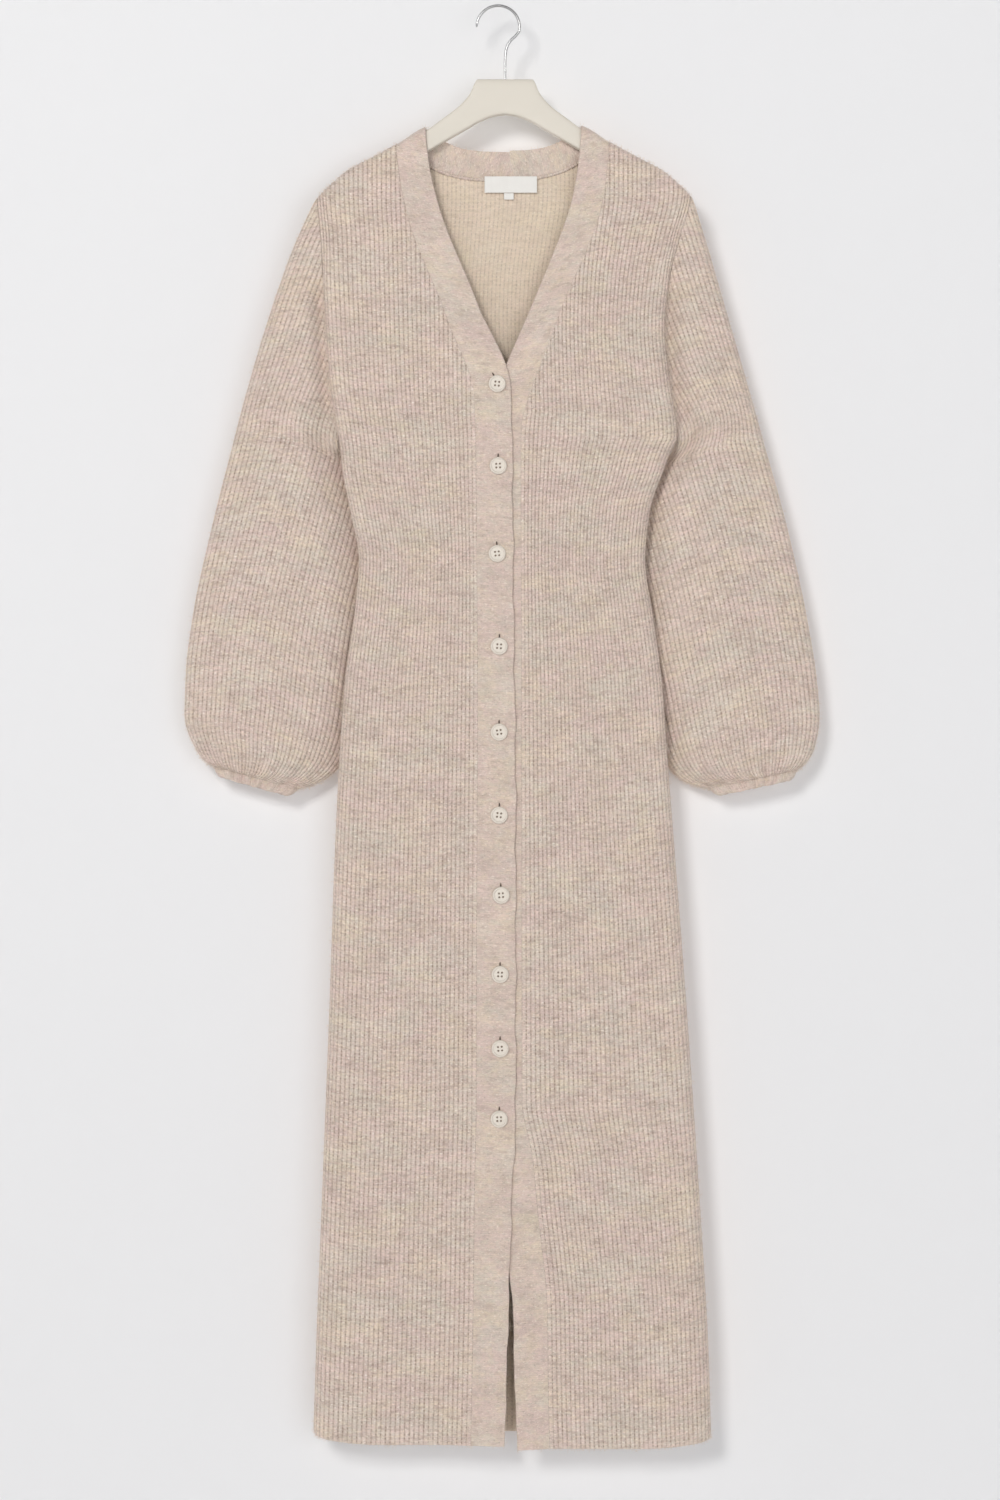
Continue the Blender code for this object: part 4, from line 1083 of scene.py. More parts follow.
SLEEVE_ROWS = {"yoke": 70, "arm": 100}
SLEEVE_PER_RIB = 6
SLEEVE_END = (0.05, 0.024, 0.008, 0.0)  # the last rows lie this far before the table's end
SLEEVE_STATIONS = 241  # places along the sleeve at which its ribs are counted
SLEEVE_FADE = 0.004
NORMAL_STEP = 0.0004
CHANNEL = {"middle": 0.0062, "depth": 0.0062, "start": 0.26, "end": 0.445}  # from the armhole, and between two drops
GATHERS = {"count": 7.5, "start": 8.2, "run": 2.6}  # round the cuff, and the table rows over which they grow


def sleeve_maker(hand):
    """The sleeve's plain outer face, as a function of the table row and of the arc length from its inner edge.

    At each row the section is a flat ring: half circles at its inner and outer edges and two crowned faces. The
    arc length is positive on the front and negative on the back. Near the armhole the face runs into the panels'
    side edges, with a channel in front where it folds in beside the body, and near the cuff it is gathered by
    waves that run round it.
    """
    cut = SLEEVE[hand]
    station = np.arange(len(cut["outer"]), dtype=float)
    top = settled(SHOULDER["drop"][0], lambda drop: crest(side(hand, drop)))

    def read(column, at):
        return curve(station, cut[column], at)

    def half_round(at):
        width = np.hypot(read("outer", at) - read("inner", at), read("outer_drop", at) - read("inner_drop", at))
        return width + read("fold", at) * (np.pi - 2)

    def beside_hole(drop):
        held = np.clip(drop, top, UNDERARM)
        front, back = wall_y("front", side(hand, held), held, 0.0), wall_y("back", side(hand, held), held, 0.0)
        return side(hand, held), front, back

    def section(at, arc):
        half, radius = half_round(at), read("fold", at)
        arc = np.where(arc > half, arc - 2 * half, np.where(arc < -half, arc + 2 * half, arc))
        quarter = radius * np.pi / 2
        flat = half - 2 * quarter
        length = np.abs(arc)
        start, end = (np.clip(part / radius, 0, np.pi / 2) for part in (length, length - quarter - flat))
        away = radius * (1 - np.cos(start)) + np.clip(length - quarter, 0, flat) + radius * np.sin(end)
        width = flat + 2 * radius
        face = np.sin(start) * np.cos(end) * np.where(arc < 0, 1, -1)
        reach = away / width
        across = read("inner", at) + (read("outer", at) - read("inner", at)) * reach
        drop = read("inner_drop", at) + (read("outer_drop", at) - read("inner_drop", at)) * reach
        return across, drop, away, face, width, reach

    def outside(at, arc):
        across, drop, *_ = section(at, arc)
        return ((across - beside_hole(drop)[0]) * OUTWARD[hand] >= SEAM_GAP) | (drop >= UNDERARM)

    def surface(at, arc):
        across, drop, away, face, width, reach = section(at, arc)
        turn = 1 - smooth_step(away / INNER_TURN)
        middle_y = read("outer_y", at) + (read("inner_y", at) - read("outer_y", at)) * turn
        own_y = middle_y + face * (read("fold", at) + read("crown", at) * np.sin(np.pi * away / width))
        gathers = np.sin(2 * np.pi * GATHERS["count"] * reach + 1.2 * np.sin(9 * reach)) * np.sin(np.pi * reach)
        own_y = own_y + face * gathers * sizes().gather * smooth_step((at - GATHERS["start"]) / GATHERS["run"])
        ripple = np.sin(3.1 * at + 5 * reach) * np.sin(np.pi * reach) * smooth_step((at - SLEEVE_START) / 2)
        own_y = own_y + face * ripple * sizes().gather * np.where(face < 0, 0.6, 0.2)
        hole, front, back = beside_hole(drop)
        edge_y = np.where(face < 0, front, back)
        from_hole = np.hypot(across - hole, np.maximum(drop - UNDERARM, 0))
        y = edge_y + (own_y - edge_y) * smooth_step(from_hole / SLEEVE_BLEND)
        beside = from_hole / CHANNEL["middle"]
        beside = (beside * np.exp(1 - beside)) ** 2
        beside = beside * smooth_step((drop - CHANNEL["start"]) / 0.07) * smooth_step((CHANNEL["end"] - drop) / 0.03)
        y = y + CHANNEL["depth"] * beside * (face < 0)
        return np.stack([across, y, -drop], axis=-1)

    return half_round, outside, surface


def knit_sleeve(hand):
    """A ribbed sleeve whose ribs keep their width from its outer fold inwards.

    A column is a distance from the outer fold, in ribs: it runs parallel to that fold and ends on the underarm's
    seam where the sleeve is narrower. Towards the cuff all the ribs draw together. A column starts where it
    leaves the armhole.
    """
    name = f"sleeve_{hand}"
    half_round, outside, surface = sleeve_maker(hand)
    pitch = sizes().sleeve_pitch
    stations = np.linspace(0, len(SLEEVE[hand]["outer"]) - 1, SLEEVE_STATIONS)
    counts = np.maximum.accumulate(half_round(stations) / pitch)
    most = int(np.ceil(counts[-1]))
    columns = np.arange(-most * SLEEVE_PER_RIB, most * SLEEVE_PER_RIB + 1) / SLEEVE_PER_RIB

    def arc_of(at, ribs_out):
        half = half_round(at)
        own = half / np.interp(at, stations, counts)
        return np.where(ribs_out < 0, -1, 1) * np.maximum(half - np.abs(ribs_out) * own, 0)

    def free(at):
        return outside(at, arc_of(at, columns))

    start = least(np.zeros(columns.shape), np.full(columns.shape, HOLE_END), free)
    yoke = np.linspace(0, 1, SLEEVE_ROWS["yoke"])[:, None]
    arm = np.linspace(SLEEVE_START, stations[-1], SLEEVE_ROWS["arm"])[1:-1, None]
    arm = np.concatenate([arm, stations[-1] - np.array(SLEEVE_END)[:, None]])
    at = np.concatenate([start + (SLEEVE_START - start) * yoke, np.broadcast_to(arm, (len(arm), len(columns)))])
    ribs_out = np.broadcast_to(columns, at.shape)
    arc = arc_of(at, ribs_out)
    plain = surface(at, arc)
    step = NORMAL_STEP
    along = surface(np.minimum(at + 10 * step, stations[-1]), arc) - surface(np.maximum(at - 10 * step, 0), arc)
    around = surface(at, arc + step) - surface(at, arc - step)
    normals = unit(np.cross(along, around)) * OUTWARD[hand]
    down = lengths_along(plain)
    to_end = down[-1] - down
    own_width = half_round(at) / np.interp(at, stations, counts)
    fade = smooth_step(np.abs(arc) / SLEEVE_FADE) * smooth_step(down / SEAM_FADE)
    fade = fade * (0.4 + 0.6 * smooth_step(to_end / SLEEVE_FADE))
    edge = 0.3 * edge_inset(to_end, sizes().wall / 2)
    raised = sizes().rib_height * np.sqrt(own_width / pitch) * rib_profile(ribs_out) * fade - edge
    outer = plain + normals * raised[..., None]
    upright = normals.copy()
    upright[0, normals[0, :, 0] * OUTWARD[hand] > 0, 0] = 0
    inner = (plain - unit(upright) * (sizes().wall - edge)[..., None])[:, ::SLEEVE_PER_RIB]
    uv = np.stack([ribs_out + UV_START[name] + most, -to_end / sizes().stitch], axis=-1)
    piece = cloth_wall(f"{name}_knit", outer, inner, SLEEVE_PER_RIB, uv, finish(rib_knit), tube=True)
    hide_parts(name)
    flat = (float(2 * half_round(stations).max()), float(down.max()))


class DRESS_OT_sleeves(bpy.types.Operator):
    """Knit the two balloon sleeves"""

    bl_idname = "dress.sleeves"
    bl_label = "Sleeves"

    def execute(self, context):
        for hand in OUTWARD:
            knit_sleeve(hand)
        return {"FINISHED"}


CUFF_START = 0.0001  # the binding starts right under the sleeve's last row
CUFF_PER_RIB = 4
CUFF_ROWS = 15
CUFF_RIB = 0.0005  # how high the ribs stand on it
CUFF_TUCK = 0.0045  # how much further its lower edge draws in
CUFF_DIP = {"depth": 0.0002, "run": 0.0012}  # below the sleeve
CUFF_WAVE = 0.0006  # of its lower edge


def knit_cuff(hand):
    """A narrow binding that carries on the sleeve's last ring with its gathers and ribs, and narrows a little.

    Its face dips slightly at the seam, and its lower edge is rounded and a little wavy.
    """
    name = f"cuff_{hand}"
    half_round, _, surface = sleeve_maker(hand)
    last = len(SLEEVE[hand]["outer"]) - 1.0
    half_length = float(half_round(last))
    ribs = int(float(half_round(np.linspace(0, last, SLEEVE_STATIONS)).max()) / sizes().sleeve_pitch)
    share = np.linspace(-1, 1, 2 * ribs * CUFF_PER_RIB + 1)
    ring = surface(last, share * half_length)
    middle = (surface(last, half_length) + surface(last, 0.0)) / 2
    along = unit(surface(last, 0.0) - surface(last, half_length))
    down = unit(np.cross(along, (0.0, 1.0, 0.0))) * OUTWARD[hand]
    ahead, behind = np.append(ring[1:], ring[1:2], axis=0), np.append(ring[-2:-1], ring[:-1], axis=0)
    normals = unit(np.cross(ahead - behind, down)) * -OUTWARD[hand]
    length = np.linspace(CUFF_START, CUFF["gap"] + CUFF["drop"], CUFF_ROWS)[:, None]
    step = length / length[-1]
    half_width = np.abs((ring - middle) @ along).max()
    shrink = (CUFF["narrowing"] * step + CUFF_TUCK * step**3) / half_width
    edge = edge_inset(length[-1] - length, sizes().wall / 2)
    dip = CUFF_DIP["depth"] * (1 - smooth_step(length / CUFF_DIP["run"]))
    phase = (1 - np.abs(share)) * ribs
    raised = CUFF_RIB * rib_profile(phase) * smooth_step((length[-1] - length) / 0.003)

    def face(sunk):
        narrowed = ring - ((ring - middle) @ along)[:, None] * shrink[..., None] * along
        puckered = length + CUFF_WAVE * step**2 * np.sin(9 * np.pi * share + 1.3 * np.sin(4 * np.pi * share))
        return narrowed + down * puckered[..., None] - normals * sunk[..., None]

    outer, inner = face(edge + dip - raised), face(sizes().wall - edge)[:, ::CUFF_PER_RIB]
    uv = np.stack(np.broadcast_arrays(phase + UV_START[name], length / sizes().stitch), axis=-1)
    piece = cloth_wall(f"{name}_knit", outer, inner, CUFF_PER_RIB, uv, finish(plain_knit), tube=True)
    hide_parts(name)


class DRESS_OT_cuffs(bpy.types.Operator):
    """Bind the two cuffs"""

    bl_idname = "dress.cuffs"
    bl_label = "Cuffs"

    def execute(self, context):
        for hand in OUTWARD:
            knit_cuff(hand)
        return {"FINISHED"}


# ---------------------------------------------------------------- the bands

BAND_ROWS = {"long": 300, "fold": 10, "back": 46}
BAND_EDGE = (0.0, 0.0002, 0.0005, 0.0009, 0.0014)  # close columns at the free edge
BAND_MIDDLE = 9
BAND_WIDTH = 0.036  # by which its columns are spaced
BAND_STITCH = 0.0045
BAND_PUFF = 0.0004
CREST_BLEND = 0.030  # the band's rows come to lie along the crest over this distance
BACK_BLEND = 0.18  # and leave it again over this share of the way to the middle
TOUCH = 0.00005  # what is left between two pieces that are knitted together


def band_wave(hand, drop):
    """The free edge's slight unevenness, sideways: two sines that start below the neckline's V."""
    on = smooth_step((drop - 0.40) / 0.05) * (1 - 0.4 * smooth_step((drop - 1.2) / 0.2))
    return 0.0007 * on * (np.sin(drop * 71.0) + 0.6 * np.sin(drop * 171.0 + 1.0)) * (1.0 if hand == "right" else 0.6)


def band_plan(hand, shares):
    """(across, drop) grids of the band in front and behind; share 0 is the free edge and 1 the seam.

    In front each row joins a point of the seam to the free edge square across the band. Near the shoulder the
    rows bend to lie along the crest. Behind, a row joins the points of the seam and of the free edge that lie
    at the same share of the way from the middle to the shoulder.
    """
    free_drop, free_across, seam_drop, _ = BAND_LINES[hand]
    corner, corner_drop = NECK_CORNER[hand]
    turn = np.linspace(np.pi / 2, 0, BAND_ROWS["fold"])[1:]
    hem = HEM[hand]
    fold_end = corner_drop + SHOULDER_RADIUS
    seam_at = np.concatenate(
        [
            hem - np.array(HEM_ROWS)[::-1],
            np.linspace(hem - 2 * HEM_ROWS[0], fold_end, BAND_ROWS["long"]),
            corner_drop + SHOULDER_RADIUS * (1 - np.cos(turn)),
        ]
    )[:, None]
    free_at = np.interp(seam_at, seam_drop, free_drop)
    near = 1 - smooth_step((seam_at - fold_end) / CREST_BLEND)
    crest_at = FREE_EDGE[hand]["drop"][0] + seam_at - corner_drop
    free_at = free_at + (crest_at - free_at) * near
    free_x = np.interp(free_at, free_drop, free_across) + band_wave(hand, free_at)
    seam_x = band_seam(hand, seam_at) + OUTWARD[hand] * (SEAM_GAP / 2 - TOUCH)
    across = free_x + (seam_x - free_x) * shares
    drop = free_at + (seam_at - free_at) * shares
    drop = drop + (crest(across) + seam_at - corner_drop - drop) * near

    free_corner = FREE_EDGE[hand]["across"][0]
    reach = 1 - (1 - np.linspace(1, 0, BAND_ROWS["back"])[1:, None]) ** 1.6
    seam_end = BACK_NECK_SEAM + OUTWARD[hand] * TOUCH
    free_end = BACK_NECK_SEAM * BACK_NECK_LEAN + OUTWARD[hand] * TOUCH
    seam_x = seam_end + (corner - seam_end) * reach
    free_x = free_end + (free_corner - free_end) * reach
    seam_low = back_neck(seam_x) + SEAM_GAP / 2 - TOUCH
    free_low = crest(free_corner) + curve(BACK_NECK["reach"], BACK_NECK["free"], np.abs(free_x / free_corner))
    back_x = free_x + (seam_x - free_x) * shares
    back_drop = free_low + (seam_low - free_low) * shares
    start_x = free_corner + (corner - free_corner) * shares
    start_drop = float(crest(free_corner)) + (corner_drop - float(crest(free_corner))) * shares
    back_drop = back_drop + (crest(start_x) - start_drop) * smooth_step((reach - 1 + BACK_BLEND) / BACK_BLEND)
    return (across, drop), (back_x, back_drop)


def knit_band(hand):
    """A smooth band from the hem up the front's edge, over the shoulder and along the back of the neck.

    Its free edge and its hem are rounded, and it swells a little between its edges.
    """
    name = f"band_{hand}"
    edge = np.array(BAND_EDGE) / BAND_WIDTH
    shares = np.concatenate([edge, np.linspace(edge[-1], 1 - edge[2], BAND_MIDDLE)[1:], [1 - edge[1], 1.0]])
    (across, drop), (back_x, back_drop) = band_plan(hand, shares)
    front = np.stack([across, front_y(hand, across, drop), -drop], axis=-1)
    back = np.stack([back_x, wall_y("back", back_x, back_drop), -back_drop], axis=-1)
    plain = np.concatenate([front, back])
    normals = grid_normals(plain) * -OUTWARD[hand]
    half = sizes().wall / 2
    along = lengths_along(plain)
    from_free = np.broadcast_to(shares * BAND_WIDTH, along.shape)
    inset = np.maximum(edge_inset(from_free, half), edge_inset(along, half))
    puff = BAND_PUFF * np.sin(np.pi * shares)
    outer = plain + normals * (puff - inset)[..., None]
    inner = plain - normals * (2 * half - inset)[..., None]
    uv = np.stack([from_free / BAND_STITCH + UV_START[name], along / BAND_STITCH], axis=-1)
    piece = cloth_wall(f"{name}_knit", outer, inner, 1, uv, finish(plain_knit))
    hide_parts(name)


class DRESS_OT_bands(bpy.types.Operator):
    """Knit the two bands that edge the fronts and the neck"""

    bl_idname = "dress.bands"
    bl_label = "Front and neck bands"

    def execute(self, context):
        for hand in OUTWARD:
            knit_band(hand)
        return {"FINISHED"}


# ---------------------------------------------------------------- buttons and buttonholes

BUTTON_SIDES = 56
BUTTON_BACK = table(  # its back and its edge: a share of the radius, and a height over the cloth
    "reach height",
    (0.02, 0.0),
    (0.5, 0.0),
    (0.90, 0.0),
    (0.97, 0.0002),
    (1.0, 0.0007),
    (1.0, 0.0014),
)
BUTTON_FACE = {"rim_rings": 12, "dish_rings": 28, "rim": 0.86, "rim_width": 0.105, "dish": 0.55}
BUTTON_WELL = 0.0011  # the depth of a hole
BUTTON_SINK = 0.0006  # how far its back lies in the cloth
BUTTONHOLE = {"half_width": 0.0013, "blunt": 0.0012, "above": 0.0022, "sink": 0.0004}
BUTTONHOLE_RIDGE = table(  # from its outline to its middle: a share of its size, a height and how dark it is, the slit's painted shade
    "level up dark",
    (0.02, -0.0002, 0),
    (1.0, 0.0, 0),
    (0.85, 0.00055, 0),
    (0.66, 0.00070, 0),
    (0.45, 0.00020, 1),
    (0.20, 0.00006, 1),
    (0.02, 0.00005, 1),
)


def button_points(across, drop, turn):
    """A turned button: rings of points from the middle of its back, round its edge, to the middle of its face.

    Its face is a shallow dish inside a rounded rim, with a smooth well for each of the four holes.
    """
    size = sizes()
    shape = BUTTON_FACE
    face = [np.linspace(0.02, 0.62, shape["dish_rings"]), np.linspace(0.65, 0.985, shape["rim_rings"])]
    face = np.concatenate(face)[::-1]
    rim = np.exp(-(((face - shape["rim"]) / shape["rim_width"]) ** 2))
    height = size.button_thickness * (shape["dish"] + (1 - shape["dish"]) * rim)
    reach = np.concatenate([BUTTON_BACK["reach"], face])[:, None] * size.button_radius
    x, z = (reach * wave(angles(BUTTON_SIDES)) for wave in (np.cos, np.sin))
    mark = np.zeros(x.shape)
    for quarter in range(4):
        at = turn + np.pi / 4 + quarter * np.pi / 2
        from_hole = np.hypot(x - size.hole_spread * np.cos(at), z - size.hole_spread * np.sin(at)) / size.hole_radius
        mark = np.maximum(mark, 1 - smooth_step((from_hole - 0.55) / 0.6))
    mark[: len(BUTTON_BACK["reach"])] = 0
    up = np.concatenate([BUTTON_BACK["height"], height])[:, None] - BUTTON_WELL * mark
    front = float(front_y("right", across, drop)) - BUTTON_SINK
    rings = np.stack([across + x, front - up, -drop + z], axis=-1)
    return rings, mark


class DRESS_OT_buttons(bpy.types.Operator):
    """Turn the ten four-hole buttons and sew them on"""

    bl_idname = "dress.buttons"
    bl_label = "Buttons"

    def execute(self, context):
        for number, (across, drop, turn, _) in enumerate(zip(*BUTTONS.values()), 1):
            rings, mark = button_points(across, drop, turn)
            name = f"button_{number:02d}"
            piece = closed_loft(f"{name}_turned", rings, finish(button_resin), marks=mark)
            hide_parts(name)
        return {"FINISHED"}


class DRESS_OT_buttonholes(bpy.types.Operator):
    """Work a buttonhole under each button"""

    bl_idname = "dress.buttonholes"
    bl_label = "Buttonholes"

    def execute(self, context):
        """A long blunt lens on the band's face: a ridge of thread round a sunk slit."""
        half_length, shape = sizes().buttonhole / 2, BUTTONHOLE
        level, up, dark = (column[:, None] for column in BUTTONHOLE_RIDGE.values())
        blunt_z, blunt_x = squarish(angles(32), 0.6)
        z = (half_length - shape["blunt"] * (1 - level)) * blunt_z * np.where(level < 0.03, 0.02, 1)
        x = shape["half_width"] * level * blunt_x
        mark = np.broadcast_to(dark, x.shape)
        for number, (across, drop, _, lean) in enumerate(zip(*BUTTONS.values()), 1):
            at_x = across + x * np.cos(lean) + z * np.sin(lean)
            at_drop = drop - shape["above"] - z * np.cos(lean) + x * np.sin(lean)
            y = front_y("right", at_x, at_drop) - shape["sink"] - up
            rings = np.stack([at_x, y, -at_drop], axis=-1)
            closed_loft(f"buttonhole_{number:02d}", rings, finish(worked_thread), mark, uv_size=0.002)
        return {"FINISHED"}


NECK_SEAM = {"reach": 0.93, "points": 420, "lower": 0.0004, "stand": 0.0010, "radius": 0.0016, "flat": 0.8}
LINK_STITCH = {"length": 0.0030, "depth": 0.22}


class DRESS_OT_neck_seam(bpy.types.Operator):
    """Link the neckband to the back with a fine ridge on the inside"""

    bl_idname = "dress.neck_seam"
    bl_label = "Neck seam"

    def execute(self, context):
        """A thin roll carried along the back neck's seam on the inside, notched at every stitch of the linking."""
        right, left = (NECK_CORNER[hand][0] * NECK_SEAM["reach"] for hand in ("right", "left"))
        across = np.linspace(right, left, NECK_SEAM["points"])
        drop = back_neck(across) + NECK_SEAM["lower"]
        y = wall_y("back", across, drop) - sizes().wall - NECK_SEAM["stand"]
        path = np.stack([across, y, -drop], axis=-1)
        inward = np.array((0.0, -1.0, 0.0))
        aside = unit(np.cross(unit(np.gradient(path, axis=0)), inward))
        length = lengths_along(path)
        notched = 1 + LINK_STITCH["depth"] * np.sin(length / LINK_STITCH["length"] * 2 * np.pi)
        radius = NECK_SEAM["radius"] * notched * smooth_step(np.minimum(length, length[-1] - length) / 0.004 + 0.1)
        rings = rings_round(path, radius, aside, NECK_SEAM["flat"] * inward, 12)
        closed_loft("neck_seam_link", rings, finish(plain_knit))
        return {"FINISHED"}


# ---------------------------------------------------------------- label, hanger, hook

STRIP = {"stand": 0.0024, "height": 0.017, "ripple": 0.00012, "thread": 0.002}  # it stands over the neck seam's roll
STRIP_POINTS = (41, 17)
HANGER_ENDS = (0.078, 0.081)  # the plate's last section and the arm's first
HANGER_POINTS = (60, 70)
HOOK_POINTS = (56, 40)


def sewn_strip(name, strip, thickness, curl):
    """A woven strip on the back's inside: a grid that follows the cloth, curls off it a little at its lower edge
    and has rounded edges."""
    x = np.linspace(strip["left"], strip["right"], STRIP_POINTS[0])
    drop = np.linspace(strip["top"], strip["bottom"], STRIP_POINTS[1])[:, None]
    across, drop = np.broadcast_arrays(x, drop)
    low = (drop - strip["top"]) / (strip["bottom"] - strip["top"])
    inside = wall_y("back", across, drop) - sizes().wall - STRIP["stand"]
    lifted = inside - thickness - curl * low**2 - STRIP["ripple"] * np.sin(across * 700)
    from_side = np.minimum(across - strip["left"], strip["right"] - across)
    inset = edge_inset(np.minimum(from_side, np.minimum(low, 1 - low) * STRIP["height"]), thickness / 2)
    outer = np.stack([across, lifted + inset, -drop], axis=-1)
    inner = np.stack([across, lifted + thickness - inset, -drop], axis=-1)
    uv = np.stack([across, drop], axis=-1) / STRIP["thread"]
    piece = cloth_wall(f"{name}_woven", outer, inner, 1, uv, finish(woven_label))
    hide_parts(name)


class DRESS_OT_labels(bpy.types.Operator):
    """Sew in the bare neck label and the bare size tab"""

    bl_idname = "dress.labels"
    bl_label = "Labels"

    def execute(self, context):
        sewn_strip("neck_label", LABEL, 0.0005, 0.0008)
        sewn_strip("size_tab", SIZE_TAB, 0.0004, 0.0006)
        return {"FINISHED"}


class DRESS_OT_hanger(bpy.types.Operator):
    """Cut the flat hanger"""

    bl_idname = "dress.hanger"
    bl_label = "Hanger"

    def execute(self, context):
        """One rounded section carried from tip to tip: a superellipse between the plate's top and bottom lines."""
        arm = HANGER_ARM["from_middle"]
        at = HANGER_MIDDLE + arm
        arm_top = crest(at) + (sizes().wall + HANGER_CLEARANCE) * np.hypot(1, crest_slope(at))
        reach = np.concatenate([HANGER["from_middle"], arm])
        top = np.concatenate([HANGER["top"], arm_top])
        bottom = np.concatenate([HANGER["bottom"], arm_top + HANGER_ARM["height"]])
        (plate_end, arm_start), (plate_points, arm_points) = HANGER_ENDS, HANGER_POINTS
        out = [np.linspace(0, plate_end, plate_points), np.linspace(arm_start, reach[-1], arm_points)]
        out = np.concatenate(out)
        high, low = curve(reach, top, out), curve(reach, bottom, out)
        out = np.concatenate([-out[:0:-1], out])
        high, low = (np.concatenate([line[:0:-1], line]) for line in (high, low))
        deep, tall = squarish(angles(HANGER_SIDES) + np.pi / HANGER_SIDES, 0.35)
        drop = (high + low)[:, None] / 2 - (low - high)[:, None] / 2 * tall
        rings = np.broadcast_arrays((HANGER_MIDDLE + out)[:, None], deep * sizes().hanger_thickness / 2, -drop)
        rings = np.stack(rings, axis=-1)
        piece = closed_loft("hanger_cut", rings, finish(hanger_lacquer))
        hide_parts("hanger_body")
        return {"FINISHED"}


class DRESS_OT_hook(bpy.types.Operator):
    """Bend the hanger's wire hook"""

    bl_idname = "dress.hook"
    bl_label = "Hook"

    def execute(self, context):
        """A round wire carried along three quarters of a circle and then a swan neck, with a rounded tip."""
        wire = sizes().wire
        angle = np.radians(np.linspace(*HOOK_BEND_ANGLES, HOOK_POINTS[0]))
        bend = np.stack([HOOK_BEND * np.cos(angle), HOOK_BEND * (np.sin(angle) - 1) + wire], axis=-1)
        end = HANGER["top"][0] - SEAM_GAP
        tail_drop = np.append(HOOK_TAIL["drop"], end)
        tail_across = np.append(HOOK_TAIL["across"], HOOK_TAIL["across"][-1])
        drop = np.linspace(tail_drop[0], end, HOOK_POINTS[1])
        tail = np.stack([curve(tail_drop, tail_across, drop), -drop], axis=-1)
        across, up = (np.concatenate([bend, tail[1:]]) - (TABLE_LINE, 0)).T
        path = np.stack([across, np.zeros_like(up), up], axis=-1)
        along = unit(np.gradient(path, axis=0))
        aside = np.stack([along[:, 2], along[:, 1], -along[:, 0]], axis=-1)
        radius = np.full(len(path), wire)
        radius[: len(HOOK_TIP)] *= HOOK_TIP
        rings = rings_round(path, radius, aside, (0.0, 1.0, 0.0), 16)
        piece = closed_loft("hook_wire", rings, finish(steel_wire))
        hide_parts("hook")
        return {"FINISHED"}


# ---------------------------------------------------------------- loose fibres

FUZZ_SEED = 7
FUZZ_FROM = [f"{name}_knit" for name in SHEETS if not name.startswith("cuff")]
FIBRE_RADIUS = 0.00015
FIBRE_ROOT = 0.0002  # how deep it starts in the cloth


class DRESS_OT_fuzz(bpy.types.Operator):
    """Brush up loose fibres from the cloth"""

    bl_idname = "dress.fuzz"
    bl_label = "Loose fibres"

    def execute(self, context):
        """Each fibre is a thin spindle of six faces: a root, a bent middle with three corners, and a tip.

        Roots lie at seeded random points of the cloth, most of them on its folds and edges, and a fibre leans a
        random way off the normal.
        """
        chance = np.random.default_rng(FUZZ_SEED)
        places, normals = [], []
        for name in FUZZ_FROM:
            mesh = bpy.data.objects[name].data
            place, normal = (np.empty(3 * len(mesh.vertices), np.float32) for _ in range(2))
            mesh.vertices.foreach_get("co", place)
            mesh.vertex_normals.foreach_get("vector", normal)
            places.append(place.reshape(-1, 3))
            normals.append(normal.reshape(-1, 3))
        places, normals = np.concatenate(places), np.concatenate(normals)
        likely = 0.10 + (1 - np.abs(normals[:, 1].astype(float))) ** 2
        picked = chance.choice(len(places), sizes().fibres, replace=False, p=likely / likely.sum())
        root, normal = places[picked] - (TABLE_LINE, 0, 0), normals[picked]
        lean = unit(chance.normal(size=root.shape))
        length = sizes().fibre_length * chance.uniform(0.35, 1.0, (len(root), 1))
        way = unit(normal * 0.55 + lean)
        way = way - normal * np.minimum((way * normal).sum(axis=1, keepdims=True), 0) * 1.6
        bent = unit(way + 0.8 * unit(chance.normal(size=root.shape)))
        middle = root + way * length * 0.5
        tip = middle + bent * length * 0.5
        first = unit(np.cross(way, lean + 0.01))
        second = np.cross(way, first)
        corners = rings_round(middle, np.full(len(middle), FIBRE_RADIUS), first, second, 3)
        points = np.concatenate([(root - normal * FIBRE_ROOT)[:, None], corners, tip[:, None]], axis=1)
        cell = np.array([(0, 2, 1), (0, 3, 2), (0, 1, 3), (4, 1, 2), (4, 2, 3), (4, 3, 1)])
        faces = (cell[None] + 5 * np.arange(len(root))[:, None, None]).reshape(-1, 3)
        points, uvs = points.reshape(-1, 3), np.zeros((faces.size, 2))
        add_piece("loose_fibres", points, faces.tolist(), uvs, finish(loose_fibre))
        return {"FINISHED"}


# ---------------------------------------------------------------- stage

CAMERA = {"place": (0.0019, -3.2, -0.7653), "lens": 74.56, "sensor": 36.0}
LIGHTS = (
    # name, place, aim, width, height, watts, colour
    ("key", (-2.0, -5.3, 1.5), (0.0, 0.0, -0.76), 1.5, 1.5, 145.0, (1.0, 0.985, 0.965)),
    ("fill", (2.2, -6.0, -1.0), (0.0, 0.0, -0.8), 3.4, 3.4, 71.5, (0.97, 0.98, 1.0)),
    ("back_key", (3.0, 4.8, 1.2), (0.0, 0.0, -0.75), 2.0, 2.0, 165.0, (1.0, 0.99, 0.97)),
    ("back_fill", (-2.4, 5.8, -0.8), (0.0, 0.0, -0.75), 3.4, 3.4, 80.0, (0.97, 0.98, 1.0)),
)
HORIZON = {"level": 0.73, "above": 0.10, "low": 0.24, "high": 0.50}  # the world's light, by a direction's height
WALL = {"y": 0.0405, "half_width": 3.5, "top": 2.2}
FLOOR = {"z": -1.78, "half_width": 6}


